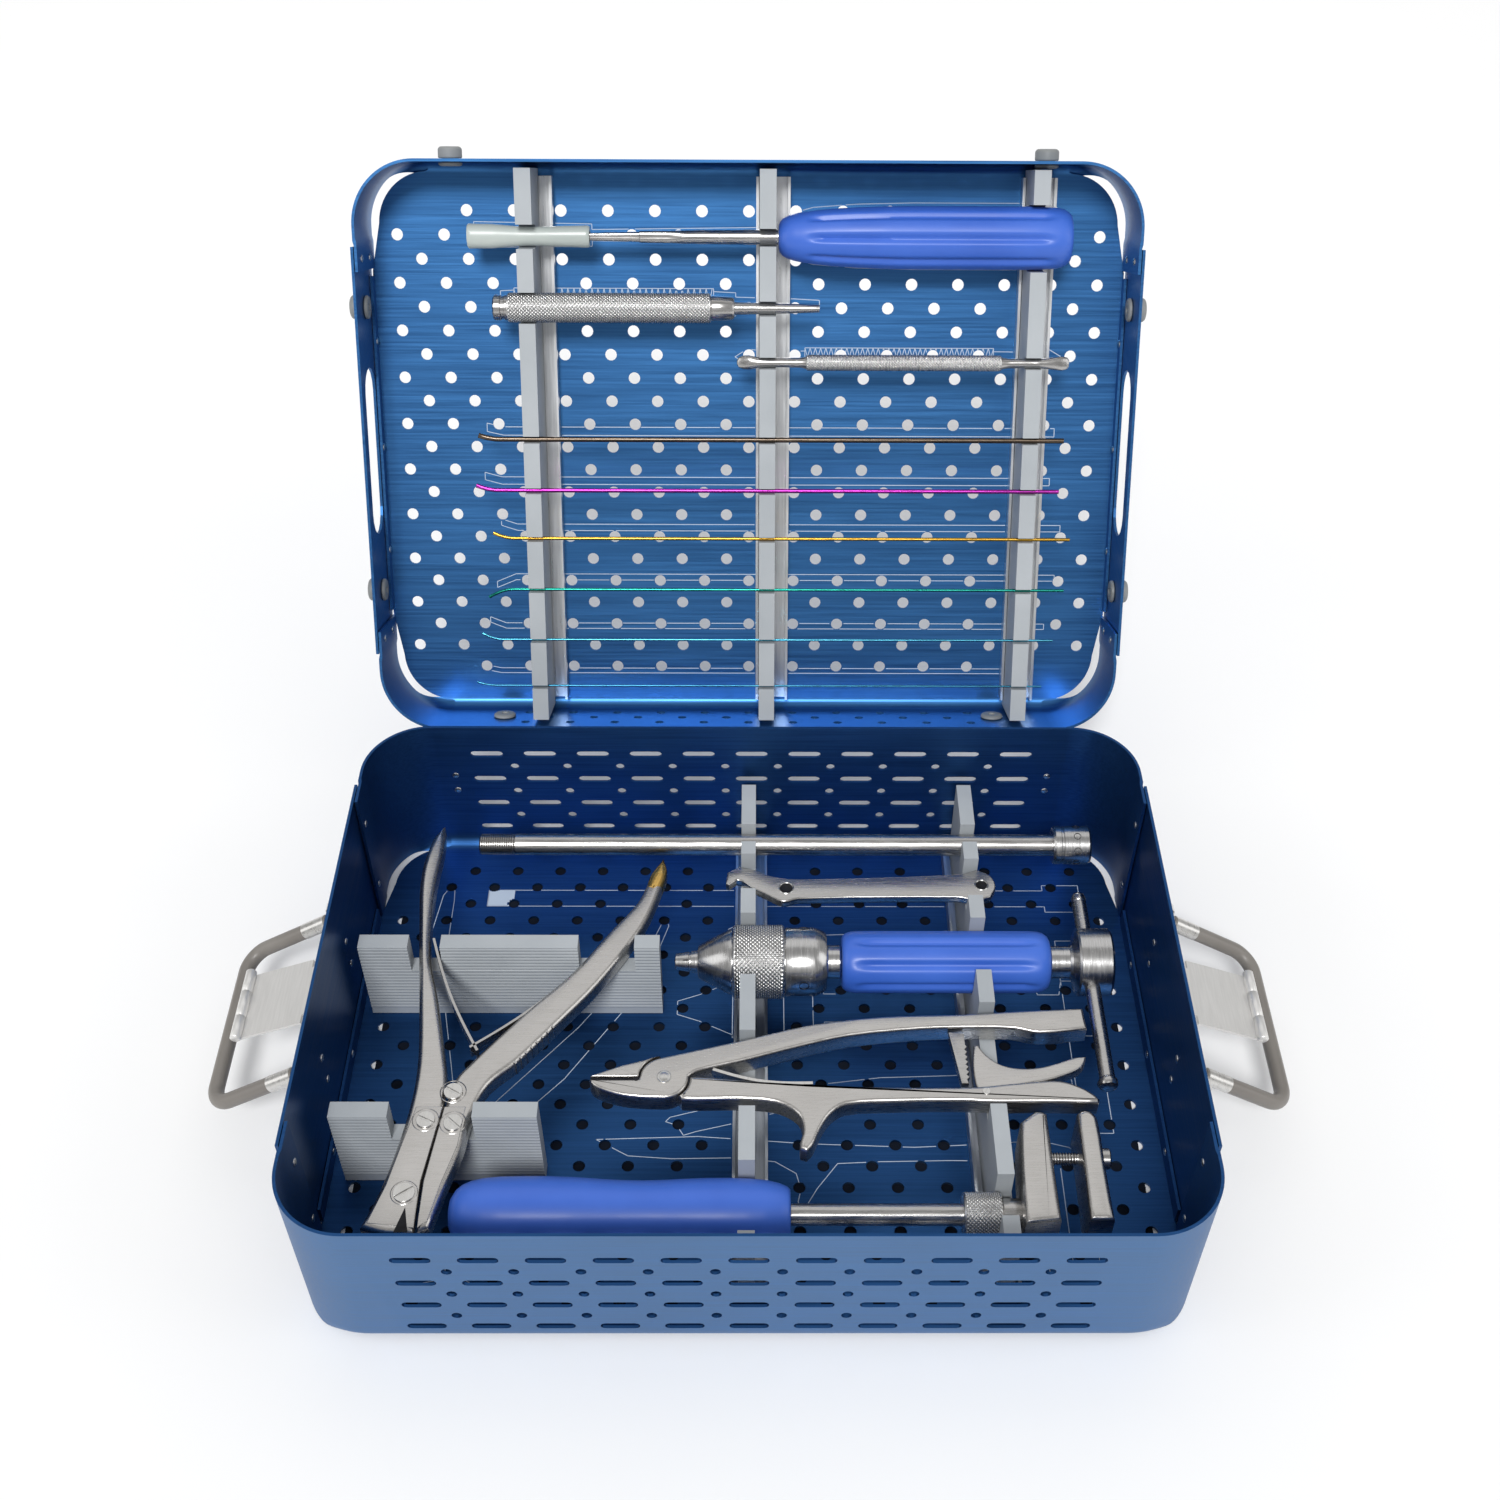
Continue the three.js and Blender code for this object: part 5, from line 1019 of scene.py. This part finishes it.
ribs = []
for i in range(8):
    t = i / 7
    x, y = -117.2 + 17.0 * t, -35.9 + 21.9 * t
    ux, uy = 0.613, 0.790
    ribs.append(prism([(x - 0.6 * ux - 2.0 * uy, y - 0.6 * uy + 2.0 * ux), (x - 0.6 * ux + 0.5 * uy, y - 0.6 * uy - 0.5 * ux), (x + 0.6 * ux + 0.5 * uy, y + 0.6 * uy - 0.5 * ux), (x + 0.6 * ux - 2.0 * uy, y + 0.6 * uy + 2.0 * ux)], 41.5, 50.6))
piece("cutter_thumb_ribs", *join(ribs), "cutter_r", STEEL, (), "tool_steel", bevel=0.2)
gilt = [(-48.6, 101.2), (-46.4, 92.6), (-49.6, 79.5), (-53.2, 75.5), (-57.6, 78.6), (-56.6, 84), (-55.0, 90)]
piece("cutter_gilt_tip", *slab(smooth(gilt, 3), 38.8, 51.2, 3.1, 5), "cutter_r", GILT, (), "tool_steel", sharp=40)

# ------------------------------------------------------------------ ribbed silicone blocks (left), replaced by ribbed meshes
def ribbed(node_name, y0, y1, name, body):
    src = N[node_name].data
    bm = bmesh.new()
    bm.from_mesh(src)
    bmesh.ops.remove_doubles(bm, verts=bm.verts, dist=1e-6)
    z = 0.0060
    lev = []
    while z < 0.0570:
        lev.append(z)
        bmesh.ops.bisect_plane(bm, geom=bm.verts[:] + bm.edges[:] + bm.faces[:], dist=1e-7, plane_co=(0, 0, z), plane_no=(0, 0, 1))
        z += 0.00085
    for v in bm.verts:
        for i, q in enumerate(lev):
            if abs(v.co.z - q) < 1e-6 and i % 3 == 0:
                if abs(v.co.y - y0 / 1000) < 2e-5:
                    v.co.y += 0.00055
                elif abs(v.co.y - y1 / 1000) < 2e-5:
                    v.co.y -= 0.00055
    me = bpy.data.meshes.new(name)
    bm.to_mesh(me)
    bm.free()
    finish_mesh(me, 20)
    me.materials.append(SILI)
    ob = bpy.data.objects.new(name, me)
    bpy.context.scene.collection.objects.link(ob)
    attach(ob, body)
    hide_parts(node_name)


ribbed("base_comb_left_back", 31, 40, "silicone_block_back", "base")
ribbed("base_comb_left_front", -73, -64, "silicone_block_front", "base")

# ------------------------------------------------------------------ materials and edges on the solids that stay
KEEP = {
    "base_side_left": (BASE_SIDE, 0.3), "base_side_right": (BASE_SIDE, 0.3), "lid_side_left": (LID_SIDE, 0.3), "lid_side_right": (LID_SIDE, 0.3),
    "hinge_leaf_left": (STAIN, 0.2), "hinge_leaf_right": (STAIN, 0.2), "lid_strap_left": (STAIN, 0.2), "lid_strap_right": (STAIN, 0.2),
    "handle_plate_left": (STAIN, 0.4), "handle_plate_right": (STAIN, 0.4), "latch_left": (LATCHM, 0.35), "latch_right": (LATCHM, 0.35),
    "base_rail_mid": (RAIL, 0.25), "base_rail_right": (RAIL, 0.25), "base_comb_mid": (SILI, 1.2), "base_comb_right": (SILI, 1.2),
    "lid_rail_left": (ALU, 0.25), "lid_rail_mid": (ALU, 0.25), "lid_rail_right": (ALU, 0.25),
    "lid_comb_left": (SILI, 0.9), "lid_comb_mid": (SILI, 0.9), "lid_comb_right": (SILI, 0.9),
}
for name, (mt, w) in KEEP.items():
    o = N[name]
    o.data.materials.clear()
    o.data.materials.append(mt)
    for p in o.data.polygons:
        p.use_smooth = False
    add_bevel(o, w, 3 if w > 1 else 2, 30)

bpy.context.view_layer.update()
